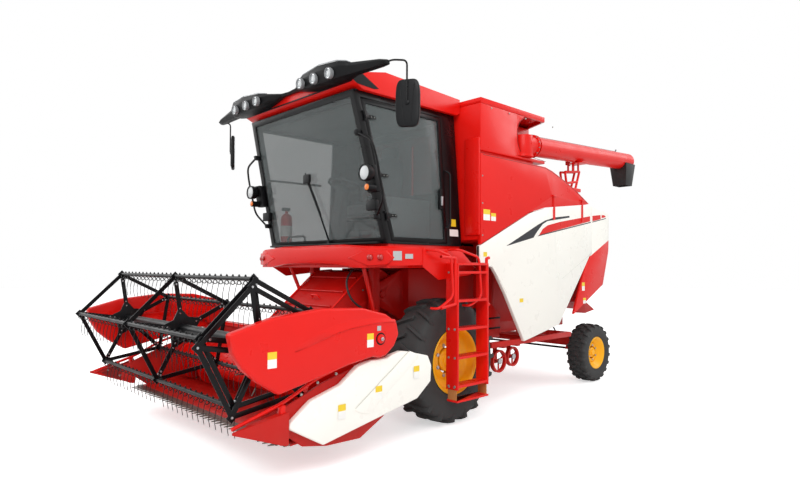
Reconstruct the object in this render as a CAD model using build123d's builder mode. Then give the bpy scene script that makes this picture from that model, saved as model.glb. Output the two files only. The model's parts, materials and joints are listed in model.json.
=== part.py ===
from build123d import *
from collections import namedtuple
from math import asin, cos, degrees, radians, sin, sqrt, tan
import os

os.makedirs("parts", exist_ok=True)

# Sizes are in millimetres. X runs to the machine's left, Y to its rear and Z up from the ground.
# A station is a distance behind the front axle, so what lies ahead of that axle is negative.

# Overall
front_axle_y = -584.5
wheelbase = 3127.0
body_half_width = 1290.0

# Clearances
seat_gap = 0.3
pin_gap = 0.3
swing_gap = 10.0

# Wheels: rim is the radius of the rim's lip, bead the half width between its lips
Wheel = namedtuple(
    "Wheel", "radius width rim bead centre_x disc lug_height lugs lug_thick lug_sweep spindle hub"
)
front_wheel = Wheel(640.0, 440.0, 340.0, 190.0, 1110.0, 60.0, 36.0, 18, 42.0, 104.0, 60.0, 120.0)
rear_wheel = Wheel(403.0, 270.0, 222.0, 112.0, 1095.0, 30.0, 26.0, 15, 40.0, 44.0, 38.0, 70.0)
wheel_facets = 20
rim_lip = 12.0
rim_depth = 20.0
rim_plate = 14.0

# Axles and steering
axle_tube_radius = 85.0
gearbox = (340.0, 360.0, 330.0)
final_drive = (600.0, 840.0, 150.0)
beam_size = 120.0
beam_z = 530.0
kingpin_x = 800.0
kingpin_radius = 24.0
knuckle_plate = 25.0
steer_arm = 220.0
tie_pin_radius = 12.0
tie_rod_radius = 16.0

# Main frame
rail_x = 540.0
rail_width = 80.0
rail_bottom = 740.0
rail_top = 880.0
rail_front = -490.0
rail_rear = 3300.0
hitch_y = 3420.0
hitch_thick = 30.0
hitch_radius = 16.5
sill_x = 1215.0
sill_width = 60.0
sill_bottom = 695.0
sill_top = 755.0
sill_front = 680.0
sill_rear = 2383.0
outrigger_stations = (690.0, 1500.0, 2330.0)

# Body, tank, guards and panels
thresher_half_width = 600.0
sheet = 40.0
tank_front = 430.0
tank_floor = 1900.0
tank_shoulder = 2880.0
tank_top = 3400.0
tank_rear = 1952.0
tank_wall = 20.0
lid_thick = 60.0
lid_gap = seat_gap
lid_axis = (442.0, 3476.0)
lid_hinge_x = 600.0
lid_pin_radius = 5.0
hood_inner_rear = 3181.0
chute_half = 980.0
chute_wall = 20.0
notch_front = 1120.0
notch_inner = 950.0
ledge_thick = 35.0
guard_hinge_z = 2500.0
guard_hinge_out = 16.0
guard_hinge_stations = (1900.0, 2600.0)
hood_front = 2874.0
hood_rear = 3370.0

# Unloading auger
auger_x = 1250.0
auger_pivot = 1290.0
auger_facets = 16
auger_root_z = 3065.0
auger_radius = 120.0
auger_rise = 3.0
auger_length = 2730.0
auger_wall = 5.0
flange_rise = 18.0

# Cab: the shell between its floor and its top
cab_floor = 1830.0
cab_top = 3300.0
cab_floor_half = 1050.0
cab_top_half = 950.0
cab_floor_front = -730.0
cab_top_front = -1085.0
cab_floor_rear = 390.0
cab_top_rear = 370.0
cab_wall = 50.0
cab_pillar = 70.0
door_axis_gap = 14.0
door_hinge_heights = (2100.0, 2500.0, 3060.0)
hinge_pin_radius = 6.0
glass_thick = 8.0
roof_top = 3530.0
roof_front = -1130.0

# Platform, ladder
deck_bottom = 1590.0
deck_thick = 60.0
walkway_outer = 1360.0
ladder_inner = 1370.0
ladder_outer = 1520.0
ladder_front = -220.0
ladder_rear = 250.0
ladder_plate = 20.0
step_rise = 300.0

# Header
header_half = 1500.0
side_sheet = 20.0
header_pivot = (-300.0, 1300.0)
feeder_half = 450.0
feeder_pin_radius = 40.0
auger_axis = (-1550.0, 550.0)
drum_radius = 150.0
flight_radius = 250.0
flight_thick = 6.0
trough_radius = 275.0
trough_start = 245.0
header_back = -1270.0
header_back_top = 850.0
top_beam = 90.0
knife_pitch = 76.2
lift_x = 300.0
lift_foot = (-100.0, 420.0)
lift_eye = (-980.0, 420.0)
lift_barrel_radius = 38.0
lift_rod_radius = 25.0
lift_pin_radius = 20.0

# Reel
reel_axis = (-2300.0, 1028.0)
reel_radius = 487.6
reel_bars = 5
reel_first_angle = 98.7
reel_bar_half = 1463.0
reel_bar_radius = 17.0
reel_tube_radius = 45.0
reel_plate = 8.0
reel_shaft_radius = 25.0
spider_x = (-1400.0, 0.0, 1400.0)
control_x = 1445.0
control_offset = (-40.0, -55.0)
arm_hub = (-1314.0, 1004.0)
arm_inner = 1480.0
arm_width = 50.0
cover_outer = 1620.0
tine_pitch = 149.0
tines_each_way = 9
tine_drop = 225.0
tine_wire = 7.0


def points_at(points):
    """Turn pairs of station and height into the model's Y and Z."""
    return [(front_axle_y + station, height) for station, height in points]


def side_plate(points, x_low, x_high, mode=Mode.ADD):
    """Add a plate whose outline stands in the side view, between two places across the machine."""
    with BuildSketch(Plane.YZ.offset(x_low)) as outline:
        with BuildLine():
            Polyline(*points_at(points), close=True)
        make_face()
    extrude(outline.sketch, amount=x_high - x_low, mode=mode)


def block(across, along, up, mode=Mode.ADD):
    """Add a box between two places across, two stations along and two heights."""
    middle = (sum(across) / 2, front_axle_y + sum(along) / 2, sum(up) / 2)
    with Locations(middle):
        Box(abs(across[1] - across[0]), abs(along[1] - along[0]), abs(up[1] - up[0]), mode=mode)


def between(start, end):
    """The plane at the start of a run between two points (X, station, height), and the run's length."""
    low = Vector(start[0], front_axle_y + start[1], start[2])
    high = Vector(end[0], front_axle_y + end[1], end[2])
    return Plane(origin=low, z_dir=high - low), (high - low).length


def bar(start, end, radius, sides=8, mode=Mode.ADD):
    """Add a bar of flat facets whose corners lie on a circle."""
    plane, length = between(start, end)
    with BuildSketch(plane) as section:
        RegularPolygon(radius=radius, side_count=sides)
    extrude(section.sketch, amount=length, mode=mode)


def drum(start, end, radius, mode=Mode.ADD):
    """Add a round bar."""
    plane, length = between(start, end)
    with BuildSketch(plane) as section:
        Circle(radius)
    extrude(section.sketch, amount=length, mode=mode)


def bore(start, end, radius):
    """Cut a round hole."""
    drum(start, end, radius, mode=Mode.SUBTRACT)


def pipe(points, radius):
    """Add a tube of six facets with mitred corners through points, each given as X, station and height."""
    with BuildLine() as path:
        Polyline(*[(x, front_axle_y + y, z) for x, y, z in points])
    with BuildSketch(Plane(origin=path.line @ 0, z_dir=path.line % 0)) as section:
        RegularPolygon(radius=radius, side_count=6)
    sweep(section.sketch, path=path.line, transition=Transition.RIGHT)


def span(side, near, far):
    """The two places across the machine that lie near and far from its middle on one side."""
    return tuple(sorted((side * near, side * far)))


def finish(name, made):
    """Label one finished piece and write it."""
    made.part.label = name
    export_step(made.part, f"parts/{name}.step")
    return made.part


def write_mirrored(name, shape):
    """Write the mirror image of a finished piece across the machine's middle."""
    with BuildPart() as made:
        mirror(shape, about=Plane.YZ)
    return finish(name, made)


# Wheels


def flat_loft(outlines):
    """A solid of flat faces through outlines with like corners, the first and last closed."""
    faces = [Face(Wire.make_polygon(outline, close=True)) for outline in (outlines[0], outlines[-1])]
    for lower, upper in zip(outlines, outlines[1:]):
        for n in range(len(lower)):
            corners = (lower[n - 1], lower[n], upper[n], upper[n - 1])
            faces.append(Face(Wire.make_polygon(corners, close=True)))
    return Solid(Shell(faces))


def faceted(sections):
    """A solid of flat facets through sections, each given as a place along X and a radius."""
    turns = [radians(360 * n / wheel_facets) for n in range(wheel_facets)]
    return flat_loft(
        [[(along, radius * cos(turn), radius * sin(turn)) for turn in turns] for along, radius in sections]
    )


def tyre_shape(wheel):
    """A lugged tyre about the origin: carcass, then lugs in two rows that meet in chevrons."""
    half = wheel.width / 2
    reach = (wheel.lug_sweep + wheel.lug_thick) / 2
    lug_top = sqrt(wheel.radius**2 - reach**2)
    tread = lug_top - wheel.lug_height
    side = wheel.rim + 0.45 * (tread - wheel.rim)
    bore = wheel.rim - rim_depth + seat_gap
    root = 0.26 * (tread - wheel.rim) + wheel.lug_height
    clocking = degrees(asin(reach / wheel.radius))
    with BuildPart() as lug:
        with BuildSketch(Plane.XY.offset(lug_top - root)):
            with BuildLine():
                Polyline(
                    (-12.0, -reach),
                    (0.98 * half, reach - wheel.lug_thick),
                    (0.98 * half, reach),
                    (-12.0, wheel.lug_thick - reach),
                    close=True,
                )
            make_face()
        extrude(amount=root)
    with BuildPart() as made:
        add(
            faceted(
                (
                    (-wheel.bead, wheel.rim),
                    (-half, side),
                    (-0.8 * half, tread),
                    (0.8 * half, tread),
                    (half, side),
                    (wheel.bead, wheel.rim),
                )
            )
        )
        for row, shape in ((0.0, lug.part), (0.5, mirror(lug.part, about=Plane.YZ, mode=Mode.PRIVATE))):
            turns = [clocking + (n + row) * 360 / wheel.lugs for n in range(wheel.lugs)]
            with Locations(*[Location((0, 0, 0), (turn, 0, 0)) for turn in turns]):
                add(shape)
        with BuildSketch(Plane.YZ.offset(-wheel.bead)):
            RegularPolygon(radius=bore, side_count=wheel_facets)
        extrude(amount=2 * wheel.bead, mode=Mode.SUBTRACT)
    return made.part


def rim_shape(wheel):
    """A dished rim about the origin: lips, barrel, plate and the hub that turns on the spindle."""
    outer = wheel.bead + rim_lip
    barrel = wheel.rim - rim_depth
    well = barrel - rim_plate
    with BuildPart() as made:
        for low, high, radius in (
            (-outer, -wheel.bead - seat_gap, wheel.rim),
            (-wheel.bead - seat_gap, wheel.bead + seat_gap, barrel),
            (wheel.bead + seat_gap, outer, wheel.rim),
        ):
            with BuildSketch(Plane.YZ.offset(low)):
                RegularPolygon(radius=radius, side_count=wheel_facets)
            extrude(amount=high - low)
        for low, high in ((-outer, wheel.disc), (wheel.disc + rim_plate, outer)):
            with BuildSketch(Plane.YZ.offset(low)):
                RegularPolygon(radius=well, side_count=wheel_facets)
            extrude(amount=high - low, mode=Mode.SUBTRACT)
        with BuildSketch(Plane.YZ.offset(-wheel.bead / 3)):
            RegularPolygon(radius=wheel.hub, side_count=12)
        extrude(amount=wheel.disc + rim_plate + 30 + wheel.bead / 3)
        with BuildSketch(Plane.YZ.offset(-wheel.bead / 3)):
            Circle(wheel.spindle + pin_gap)
        extrude(amount=wheel.disc + wheel.bead / 3, mode=Mode.SUBTRACT)
    return made.part


for place, wheel, station in (("front", front_wheel, 0.0), ("rear", rear_wheel, wheelbase)):
    for kind, shape in (("tyre", tyre_shape(wheel)), ("rim", rim_shape(wheel))):
        with BuildPart() as turning:
            with Locations((wheel.centre_x, front_axle_y + station, wheel.radius)):
                add(shape)
        left = finish(f"{place}_{kind}_left", turning)
        write_mirrored(f"{place}_{kind}_right", left)

# Axles, knuckles and tie rod

with BuildPart() as front_axle:
    axle_z = front_wheel.radius
    spindle_end = front_wheel.centre_x + front_wheel.disc - 5
    bar((-final_drive[0], 0, axle_z), (final_drive[0], 0, axle_z), axle_tube_radius)
    block((-gearbox[0] / 2, gearbox[0] / 2), (-gearbox[1] / 2, gearbox[1] / 2), (480, rail_bottom - 20))
    for side in (1, -1):
        across = span(side, rail_x - rail_width / 2, rail_x + rail_width / 2)
        block(across, (-70, 70), (axle_z, rail_bottom - seat_gap))
        low, high, reach = final_drive
        block(span(side, low, high), (-reach, reach), (axle_z - reach, rail_bottom - seat_gap))
        bar((side * high, 0, axle_z), (side * (high + 20), 0, axle_z), front_wheel.hub)
        bar((side * high, 0, axle_z), (side * spindle_end, 0, axle_z), front_wheel.spindle)
    for side in (1, -1):
        for inner in (-62.0, 42.0):
            x_low = side * lift_x + inner
            side_plate(
                (
                    (-60, axle_z - 80),
                    (60, axle_z - 80),
                    (lift_foot[0] + 45, lift_foot[1] - 45),
                    (lift_foot[0] - 45, lift_foot[1] - 45),
                    (lift_foot[0] - 45, lift_foot[1] + 45),
                ),
                x_low,
                x_low + 20,
            )
        bar(
            (side * lift_x - 62, *lift_foot), (side * lift_x + 62, *lift_foot), lift_pin_radius
        )
finish("front_axle", front_axle)

eye_low = beam_z - 90
eye_high = beam_z + 90
with BuildPart() as rear_axle_beam:
    half = beam_size / 2
    block((-kingpin_x, kingpin_x), (wheelbase - half, wheelbase + half), (beam_z - half, beam_z + half))
    for side in (1, -1):
        bar((side * kingpin_x, wheelbase, eye_low), (side * kingpin_x, wheelbase, eye_high), half, sides=12)
        bore(
            (side * kingpin_x, wheelbase, eye_low),
            (side * kingpin_x, wheelbase, eye_high),
            kingpin_radius + pin_gap,
        )
    block((-70, 70), (wheelbase - 110, wheelbase + 110), (beam_z + half, rail_bottom - seat_gap))
finish("rear_axle_beam", rear_axle_beam)

with BuildPart() as knuckle_left:
    plate_low = eye_low - seat_gap - knuckle_plate
    plate_high = eye_high + seat_gap + knuckle_plate
    outer_x = kingpin_x + 75
    block(
        (kingpin_x - 50, outer_x),
        (wheelbase - 55, wheelbase + steer_arm + 30),
        (plate_low, eye_low - seat_gap),
    )
    block((kingpin_x - 50, outer_x), (wheelbase - 55, wheelbase + 55), (eye_high + seat_gap, plate_high))
    block(
        (outer_x, outer_x + knuckle_plate),
        (wheelbase - 60, wheelbase + 60),
        (rear_wheel.radius - 75, plate_high),
    )
    bar((kingpin_x, wheelbase, plate_low), (kingpin_x, wheelbase, plate_high), kingpin_radius)
    bar(
        (outer_x, wheelbase, rear_wheel.radius),
        (rear_wheel.centre_x + rear_wheel.disc - 5, wheelbase, rear_wheel.radius),
        rear_wheel.spindle,
    )
    bar(
        (kingpin_x, wheelbase + steer_arm, plate_low - 45),
        (kingpin_x, wheelbase + steer_arm, plate_low),
        tie_pin_radius,
    )
finish("knuckle_left", knuckle_left)
write_mirrored("knuckle_right", knuckle_left.part)

with BuildPart() as tie_rod:
    rod_z = plate_low - 25
    rod_y = wheelbase + steer_arm
    bar((-kingpin_x + 30, rod_y, rod_z), (kingpin_x - 30, rod_y, rod_z), tie_rod_radius)
    for side in (1, -1):
        bar((side * kingpin_x, rod_y, rod_z - 18), (side * kingpin_x, rod_y, rod_z + 18), 34)
        bore(
            (side * kingpin_x, rod_y, rod_z - 18),
            (side * kingpin_x, rod_y, rod_z + 18),
            tie_pin_radius + pin_gap,
        )
finish("tie_rod", tie_rod)

# Main frame

with BuildPart() as main_frame:
    for side in (1, -1):
        rail_across = span(side, rail_x - rail_width / 2, rail_x + rail_width / 2)
        block(rail_across, (rail_front, rail_rear), (rail_bottom, rail_top))
        block(
            span(side, sill_x - sill_width / 2, sill_x + sill_width / 2),
            (sill_front, sill_rear),
            (sill_bottom, sill_top),
        )
        block(rail_across, (rail_front, rail_front + 90), (rail_top, deck_bottom - seat_gap))
        for station in outrigger_stations:
            block(
                span(side, rail_x + rail_width / 2, sill_x),
                (station, station + 50),
                (sill_bottom, sill_top),
            )
    for station in (250.0, 1400.0, wheelbase - 60):
        block((-rail_x, rail_x), (station, station + 120), (rail_bottom, rail_top - 40))
    block((-60, 60), (wheelbase + 55, hitch_y + 60), (rail_bottom, rail_bottom + hitch_thick))
    hitch_hole = (0, hitch_y)
    bore((*hitch_hole, rail_bottom - 1), (*hitch_hole, rail_bottom + hitch_thick + 1), hitch_radius)
finish("main_frame", main_frame)

# Threshing body, with the cheeks that carry the feeder house

thresher_front = 10.0
thresher_rear = 3160.0
with BuildPart() as thresher_body:
    side_plate(
        (
            (thresher_front, rail_top + seat_gap),
            (thresher_front, deck_bottom - swing_gap),
            (tank_front - 20, deck_bottom - swing_gap),
            (tank_front - 20, tank_floor - 40),
            (2860, tank_floor - 40),
            (thresher_rear, 1700),
            (thresher_rear, 1365),
            (2385, 985),
            (2150, rail_top + seat_gap),
        ),
        -thresher_half_width,
        thresher_half_width,
    )
    pivot_y, pivot_z = header_pivot
    for side in (1, -1):
        cheek = span(side, feeder_half + 20, feeder_half + 60)
        side_plate(
            (
                (thresher_front, 1000),
                (thresher_front, deck_bottom - swing_gap),
                (pivot_y - 60, 1420),
                (pivot_y - 90, 1300),
                (pivot_y - 60, 1180),
            ),
            *cheek,
        )
        bore((cheek[0], *header_pivot), (cheek[1], *header_pivot), feeder_pin_radius + pin_gap)
finish("thresher_body", thresher_body)

# Side drives: two belt pulleys and the lifting conveyor leg on the left

pulleys = ((945.0, 516.0, 130.0), (1214.0, 544.0, 115.0))
with BuildPart() as side_drives:
    for station, height, radius in pulleys:
        bar((1120, station, height), (1160, station, height), radius, sides=12)
        bar((1110, station, height), (1170, station, height), radius - 22, sides=12, mode=Mode.SUBTRACT)
        for turn in (30, 150, 270):
            reach = radius - 18
            bar(
                (1140, station, height),
                (1140, station + reach * cos(radians(turn)), height + reach * sin(radians(turn))),
                10,
            )
        bar((1060, station, height), (1165, station, height), 22)
        side_plate(
            (
                (station - 30, height - 30),
                (station + 30, height - 30),
                (station + 30, sill_bottom - seat_gap),
                (station - 30, sill_bottom - seat_gap),
            ),
            1080,
            1100,
        )
        block(
            (1080, sill_x + 20),
            (station - 30, station + 30),
            (sill_bottom - seat_gap - 20, sill_bottom - seat_gap),
        )
finish("side_drives", side_drives)

with BuildPart() as conveyor_leg:
    side_plate(
        (
            (900, 780),
            (900, 1020),
            (1060, 1160),
            (1220, 1020),
            (1220, 780),
        ),
        700,
        960,
    )
    side_plate(
        ((1000, 1100), (1120, 1100), (1120, tank_floor - seat_gap), (1000, tank_floor - seat_gap)),
        720,
        940,
    )
    block((640, 960), (900, 1220), (sill_top + seat_gap, 790))
finish("conveyor_leg", conveyor_leg)

# Straw hood and chute

hood_profile = (
    (hood_front, 2440),
    (3353, 2379),
    (hood_rear, 2280),
    (3361, 1997),
    (3350, 1830),
    (3181, 1360),
    (2385, 985),
    (2700, 1640),
    (hood_front, 1800),
)
with BuildPart() as straw_hood:
    side_plate(hood_profile, -body_half_width, body_half_width)
    side_plate(
        (
            (hood_front - 20, 2400),
            (3320, 2345),
            (3332, 2280),
            (3322, 1997),
            (3310, 1830),
            (hood_inner_rear, 1500),
            (hood_inner_rear, 1300),
            (2300, 900),
        ),
        -body_half_width + sheet,
        body_half_width - sheet,
        mode=Mode.SUBTRACT,
    )
    block(
        (sheet - body_half_width, body_half_width - sheet),
        (thresher_rear + seat_gap, thresher_rear + 30),
        (1450, 1700),
    )
finish("straw_hood", straw_hood)

with BuildPart() as straw_chute:
    hanger_front = thresher_rear + seat_gap
    hanger_rear = hood_inner_rear - seat_gap
    side_plate(
        (
            (2905, 965),
            (3250, 938),
            (3517, 977),
            (3248, 1110),
            (hanger_rear, 1355),
            (hanger_rear, 1440),
            (hanger_front, 1440),
            (hanger_front, 1355),
        ),
        -chute_half,
        chute_half,
    )
    side_plate(
        ((2880, 930), (3250, 900), (3530, 950), (3225, 1095), (3163, 1310), (3120, 1310)),
        chute_wall - chute_half,
        chute_half - chute_wall,
        mode=Mode.SUBTRACT,
    )
finish("straw_chute", straw_chute)

# Grain tank: a lower hopper between the side panels and an upper box, open at the top

tank_plan = (
    (body_half_width, tank_front),
    (body_half_width, notch_front),
    (notch_inner, notch_front),
    (notch_inner, 1862),
    (773.0, tank_rear),
    (-773.0, tank_rear),
    (-body_half_width, 1695.0),
    (-body_half_width, tank_front),
)
inner_half = body_half_width - sheet - seat_gap
ledge_top = tank_shoulder + ledge_thick
with BuildPart() as grain_tank:
    block((-inner_half, inner_half), (tank_front, 1500), (tank_floor, tank_shoulder + tank_wall))
    with BuildSketch(Plane.XY.offset(tank_shoulder)):
        with BuildLine():
            Polyline(*[(x, front_axle_y + y) for x, y in tank_plan], close=True)
        make_face()
    extrude(amount=tank_top - tank_shoulder)
    with BuildSketch(Plane.XY.offset(tank_shoulder + tank_wall)):
        with BuildLine():
            Polyline(*[(x, front_axle_y + y) for x, y in tank_plan], close=True)
        make_face()
        offset(amount=-tank_wall, kind=Kind.INTERSECTION, mode=Mode.REPLACE)
    extrude(amount=tank_top - tank_shoulder - tank_wall, mode=Mode.SUBTRACT)
    block(
        (-inner_half + tank_wall, inner_half - tank_wall),
        (tank_front + tank_wall, notch_front - tank_wall),
        (tank_floor + tank_wall, tank_shoulder + 2 * tank_wall),
        mode=Mode.SUBTRACT,
    )
    block((notch_inner, body_half_width), (notch_front, 1700), (tank_shoulder, ledge_top))
finish("grain_tank", grain_tank)

lid_z = tank_top + lid_gap
lid_plan = (
    (body_half_width, tank_front),
    (body_half_width, 1695.0),
    (773.0, tank_rear),
    (-773.0, tank_rear),
    (-body_half_width, 1695.0),
    (-body_half_width, tank_front),
)
with BuildPart() as tank_lid:
    with BuildSketch(Plane.XY.offset(lid_z)):
        with BuildLine():
            Polyline(*[(x, front_axle_y + y) for x, y in lid_plan], close=True)
        make_face()
    extrude(amount=lid_thick)
    with BuildSketch(Plane.XY.offset(lid_z)):
        with BuildLine():
            Polyline(*[(x, front_axle_y + y) for x, y in lid_plan], close=True)
        make_face()
        offset(amount=-25, kind=Kind.INTERSECTION, mode=Mode.REPLACE)
    extrude(amount=lid_thick - 20, mode=Mode.SUBTRACT)
    side_plate(
        ((tank_front - 1, lid_z - 1), (lid_axis[0] + 4, lid_z - 1), (tank_front - 1, lid_z + 24)),
        -body_half_width,
        body_half_width,
        mode=Mode.SUBTRACT,
    )
    for x in (-lid_hinge_x, lid_hinge_x):
        block((x - 30, x + 30), (lid_axis[0] - 4, lid_axis[0] + 20), (lid_z + lid_thick - 5, lid_axis[1]))
        bar((x - 30, *lid_axis), (x + 30, *lid_axis), 10)
        bore((x - 31, *lid_axis), (x + 31, *lid_axis), lid_pin_radius + pin_gap)
finish("tank_lid", tank_lid)

# Upper side panels: their lower edge follows the guards' upper edge

guard_top_edge = ((410, 1830), (1369, 2248), (1700, 2329), (2714, 2440), (2864, 2440))
with BuildPart() as upper_panels:
    rise = 12.0
    lower = [(y, z + rise) for y, z in guard_top_edge[1:3]]
    for side in (1, -1):
        side_plate(
            (
                (tank_front, 1838 + rise),
                (tank_front, 2845),
                (1700, 2845),
                (1863, 2814),
                (2173, 2720),
                (2417, 2634),
                (2790, 2470),
                (2700, 2440 + rise),
                *reversed(lower),
            ),
            *span(side, body_half_width - sheet, body_half_width),
        )
        for station in guard_hinge_stations:
            x = side * (body_half_width + guard_hinge_out)
            bar((x, station - 50, guard_hinge_z), (x, station + 50, guard_hinge_z), hinge_pin_radius)
            for end in (station - 50, station + 38):
                block(
                    span(side, body_half_width - 5, body_half_width + guard_hinge_out + 6),
                    (end, end + 12),
                    (guard_hinge_z - 8, guard_hinge_z + 8),
                )
finish("upper_panels", upper_panels)

# Side guards, hinged along their upper edge

guard_outline = (
    *guard_top_edge,
    (2864, 1830),
    (2785, 1739),
    (2018, 878),
    (1249, 734),
    (889, 1290),
    (710, 1526),
    (640, 1600),
    (555, 1618),
    (410, 1620),
)
with BuildPart() as guard_left:
    side_plate(guard_outline, body_half_width - sheet, body_half_width)
    side_plate(
        (
            (460, 1880),
            (1369, 2200),
            (2800, 2390),
            (2800, 1840),
            (2010, 930),
            (1270, 800),
            (900, 1370),
            (660, 1670),
            (460, 1670),
        ),
        body_half_width - sheet,
        body_half_width - 12,
        mode=Mode.SUBTRACT,
    )
    for station in guard_hinge_stations:
        x = body_half_width + guard_hinge_out
        block((body_half_width, body_half_width + 10), (station - 20, station + 20), (2200, 2330))
        block(
            (body_half_width + 3, body_half_width + 10),
            (station - 20, station + 20),
            (2320, guard_hinge_z),
        )
        bar((x, station - 32, guard_hinge_z), (x, station + 32, guard_hinge_z), 12)
        bore(
            (x, station - 33, guard_hinge_z),
            (x, station + 33, guard_hinge_z),
            hinge_pin_radius + pin_gap,
        )
finish("guard_left", guard_left)
write_mirrored("guard_right", guard_left.part)

# Engine, cooling screen, air cleaner and exhaust

with BuildPart() as engine_block:
    block((-450, 450), (1640, 2440), (tank_floor - 40 + seat_gap, 2480))
finish("engine_block", engine_block)

with BuildPart() as cooling_screen:
    block((-1180, 60 - thresher_half_width), (1990, 2640), (tank_floor - 40 + seat_gap, 2560))
    block((-1181, -1160), (2030, 2600), (1900, 2520), mode=Mode.SUBTRACT)
finish("cooling_screen", cooling_screen)

with BuildPart() as air_cleaner:
    bar((600, 2100, tank_floor - 40 + seat_gap), (600, 2100, 2700), 45)
    bar((600, 2100, 2700), (600, 2100, 2900), 95)
    bar((600, 2100, 2900), (600, 2100, 2925), 115)
finish("air_cleaner", air_cleaner)

# Unloading auger: fixed elbow base and cradle, swinging tube, rubber spout

turntable_z = auger_root_z - auger_radius - 2
rise_slope = tan(radians(auger_rise))


def auger_height(station):
    """The height of the tube's axis at a station."""
    return auger_root_z + (station - auger_pivot) * rise_slope


tube_start = auger_pivot
tube_end = auger_pivot + auger_length
with BuildPart() as auger_tube:
    elbow_top = auger_root_z + auger_radius - 14
    drum((auger_x, auger_pivot, turntable_z), (auger_x, auger_pivot, elbow_top), auger_radius - 6)
    bar(
        (auger_x, tube_start, auger_root_z),
        (auger_x, tube_end, auger_height(tube_end)),
        auger_radius,
        auger_facets,
    )
    for station in (auger_pivot + 150, auger_pivot + 190):
        bar(
            (auger_x, station, auger_height(station)),
            (auger_x, station + 14, auger_height(station + 14)),
            auger_radius + flange_rise,
            auger_facets,
        )
    bar(
        (auger_x, tube_start + 300, auger_height(tube_start + 300)),
        (auger_x, tube_end - 12, auger_height(tube_end - 12)),
        auger_radius - auger_wall,
        auger_facets,
        mode=Mode.SUBTRACT,
    )
    block(
        (auger_x - 90, auger_x + 90),
        (tube_end - 230, tube_end - 50),
        (auger_root_z - 50, auger_height(tube_end) - 60),
        mode=Mode.SUBTRACT,
    )
finish("auger_tube", auger_tube)

with BuildPart() as auger_spout:
    spout_top = auger_height(tube_end) - 60
    spout_low = auger_root_z - auger_radius - 120
    spout_middle = front_axle_y + tube_end - 140
    widths = ((2 * auger_radius + 24, 290.0), (200.0, 200.0))
    for inset, mode in ((0.0, Mode.ADD), (8.0, Mode.SUBTRACT)):
        outlines = [
            [
                (auger_x + side * (wide / 2 - inset), spout_middle + end * (long / 2 - inset), height)
                for side, end in ((-1, -1), (1, -1), (1, 1), (-1, 1))
            ]
            for height, (wide, long) in zip((spout_top, spout_low), widths)
        ]
        add(flat_loft(outlines), mode=mode)
    bar(
        (auger_x, tube_end - 400, auger_height(tube_end - 400)),
        (auger_x, tube_end + 50, auger_height(tube_end + 50)),
        auger_radius + seat_gap,
        auger_facets,
        mode=Mode.SUBTRACT,
    )
finish("auger_spout", auger_spout)

cradle_y = 2560.0
cradle_front = cradle_y - 110
cradle_top = auger_height(cradle_front) - auger_radius / cos(radians(auger_rise)) - seat_gap
with BuildPart() as auger_mounts:
    bar(
        (auger_x, auger_pivot, ledge_top + seat_gap),
        (auger_x, auger_pivot, turntable_z - pin_gap),
        auger_radius,
    )
    side_plate(
        (
            (cradle_y - 190, 2655),
            (cradle_front, cradle_top - 8),
            (cradle_y + 110, cradle_top - 8),
            (cradle_y + 60, 2640),
            (cradle_y + 40, 2440),
            (cradle_y - 120, 2440),
        ),
        body_half_width - sheet - seat_gap - 25,
        body_half_width - sheet - seat_gap,
    )
    block((1150, 1380), (cradle_front, cradle_y + 110), (cradle_top - 12, cradle_top))
    block((1100, 1112), (cradle_y - 60, cradle_y + 60), (cradle_top - 12, cradle_top + 120))
    block((1100, 1160), (cradle_y - 60, cradle_y + 60), (cradle_top - 12, cradle_top))
finish("auger_mounts", auger_mounts)

# Cab


def cab_at(height):
    """The cab shell's half width, front and rear at a height."""
    share = (height - cab_floor) / (cab_top - cab_floor)
    return (
        cab_floor_half + share * (cab_top_half - cab_floor_half),
        cab_floor_front + share * (cab_top_front - cab_floor_front),
        cab_floor_rear + share * (cab_top_rear - cab_floor_rear),
    )


def cab_section(height, inset):
    """One level of the cab shell as its four corners, set in from the outside."""
    half, front, rear = cab_at(height)
    return (
        (half - inset, front_axle_y + front + inset),
        (half - inset, front_axle_y + rear - inset),
        (inset - half, front_axle_y + rear - inset),
        (inset - half, front_axle_y + front + inset),
    )


def cab_solid(low, high, inset):
    """The cab's form between two heights, set in from the outside."""
    return flat_loft([[(x, y, height) for x, y in cab_section(height, inset)] for height in (low, high)])


def door_outline(inset):
    """The door's outline in the side view, set in from the pillars, roof edge and sill."""
    low = cab_floor + 20 + inset
    high = cab_top - 60 - inset
    front = cab_pillar + inset
    rear = 230 + inset
    return (
        (cab_at(low)[1] + front, low),
        (cab_at(high)[1] + front, high),
        (cab_at(high)[2] - rear, high),
        (cab_at(low)[2] - rear, low),
    )


window_rim = 60.0
with BuildPart() as cab_frame:
    add(cab_solid(cab_floor, cab_top, 0))
    add(cab_solid(cab_floor + 30, cab_top - 30, cab_wall), mode=Mode.SUBTRACT)
    side_plate(door_outline(0), 0, body_half_width, mode=Mode.SUBTRACT)
    side_plate(door_outline(window_rim / 2), -body_half_width, 0, mode=Mode.SUBTRACT)
    front_low = cab_floor + 60
    front_high = cab_top - 60
    with BuildSketch(Plane.XZ.offset(-front_axle_y - cab_floor_rear + 500)) as windscreen_cut:
        with BuildLine():
            low_half = cab_at(front_low)[0] - cab_pillar
            high_half = cab_at(front_high)[0] - cab_pillar
            Polyline(
                (-low_half, front_low),
                (low_half, front_low),
                (high_half, front_high),
                (-high_half, front_high),
                close=True,
            )
        make_face()
    extrude(windscreen_cut.sketch, amount=1500, mode=Mode.SUBTRACT)
    block((-650, 650), (200, 600), (2450, 3150), mode=Mode.SUBTRACT)


def door_axis(height):
    """A point of the door's hinge line, which runs along the front pillar just outside it."""
    half, front = cab_at(height)[:2]
    return (half + door_axis_gap, front + cab_pillar, height)


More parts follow.
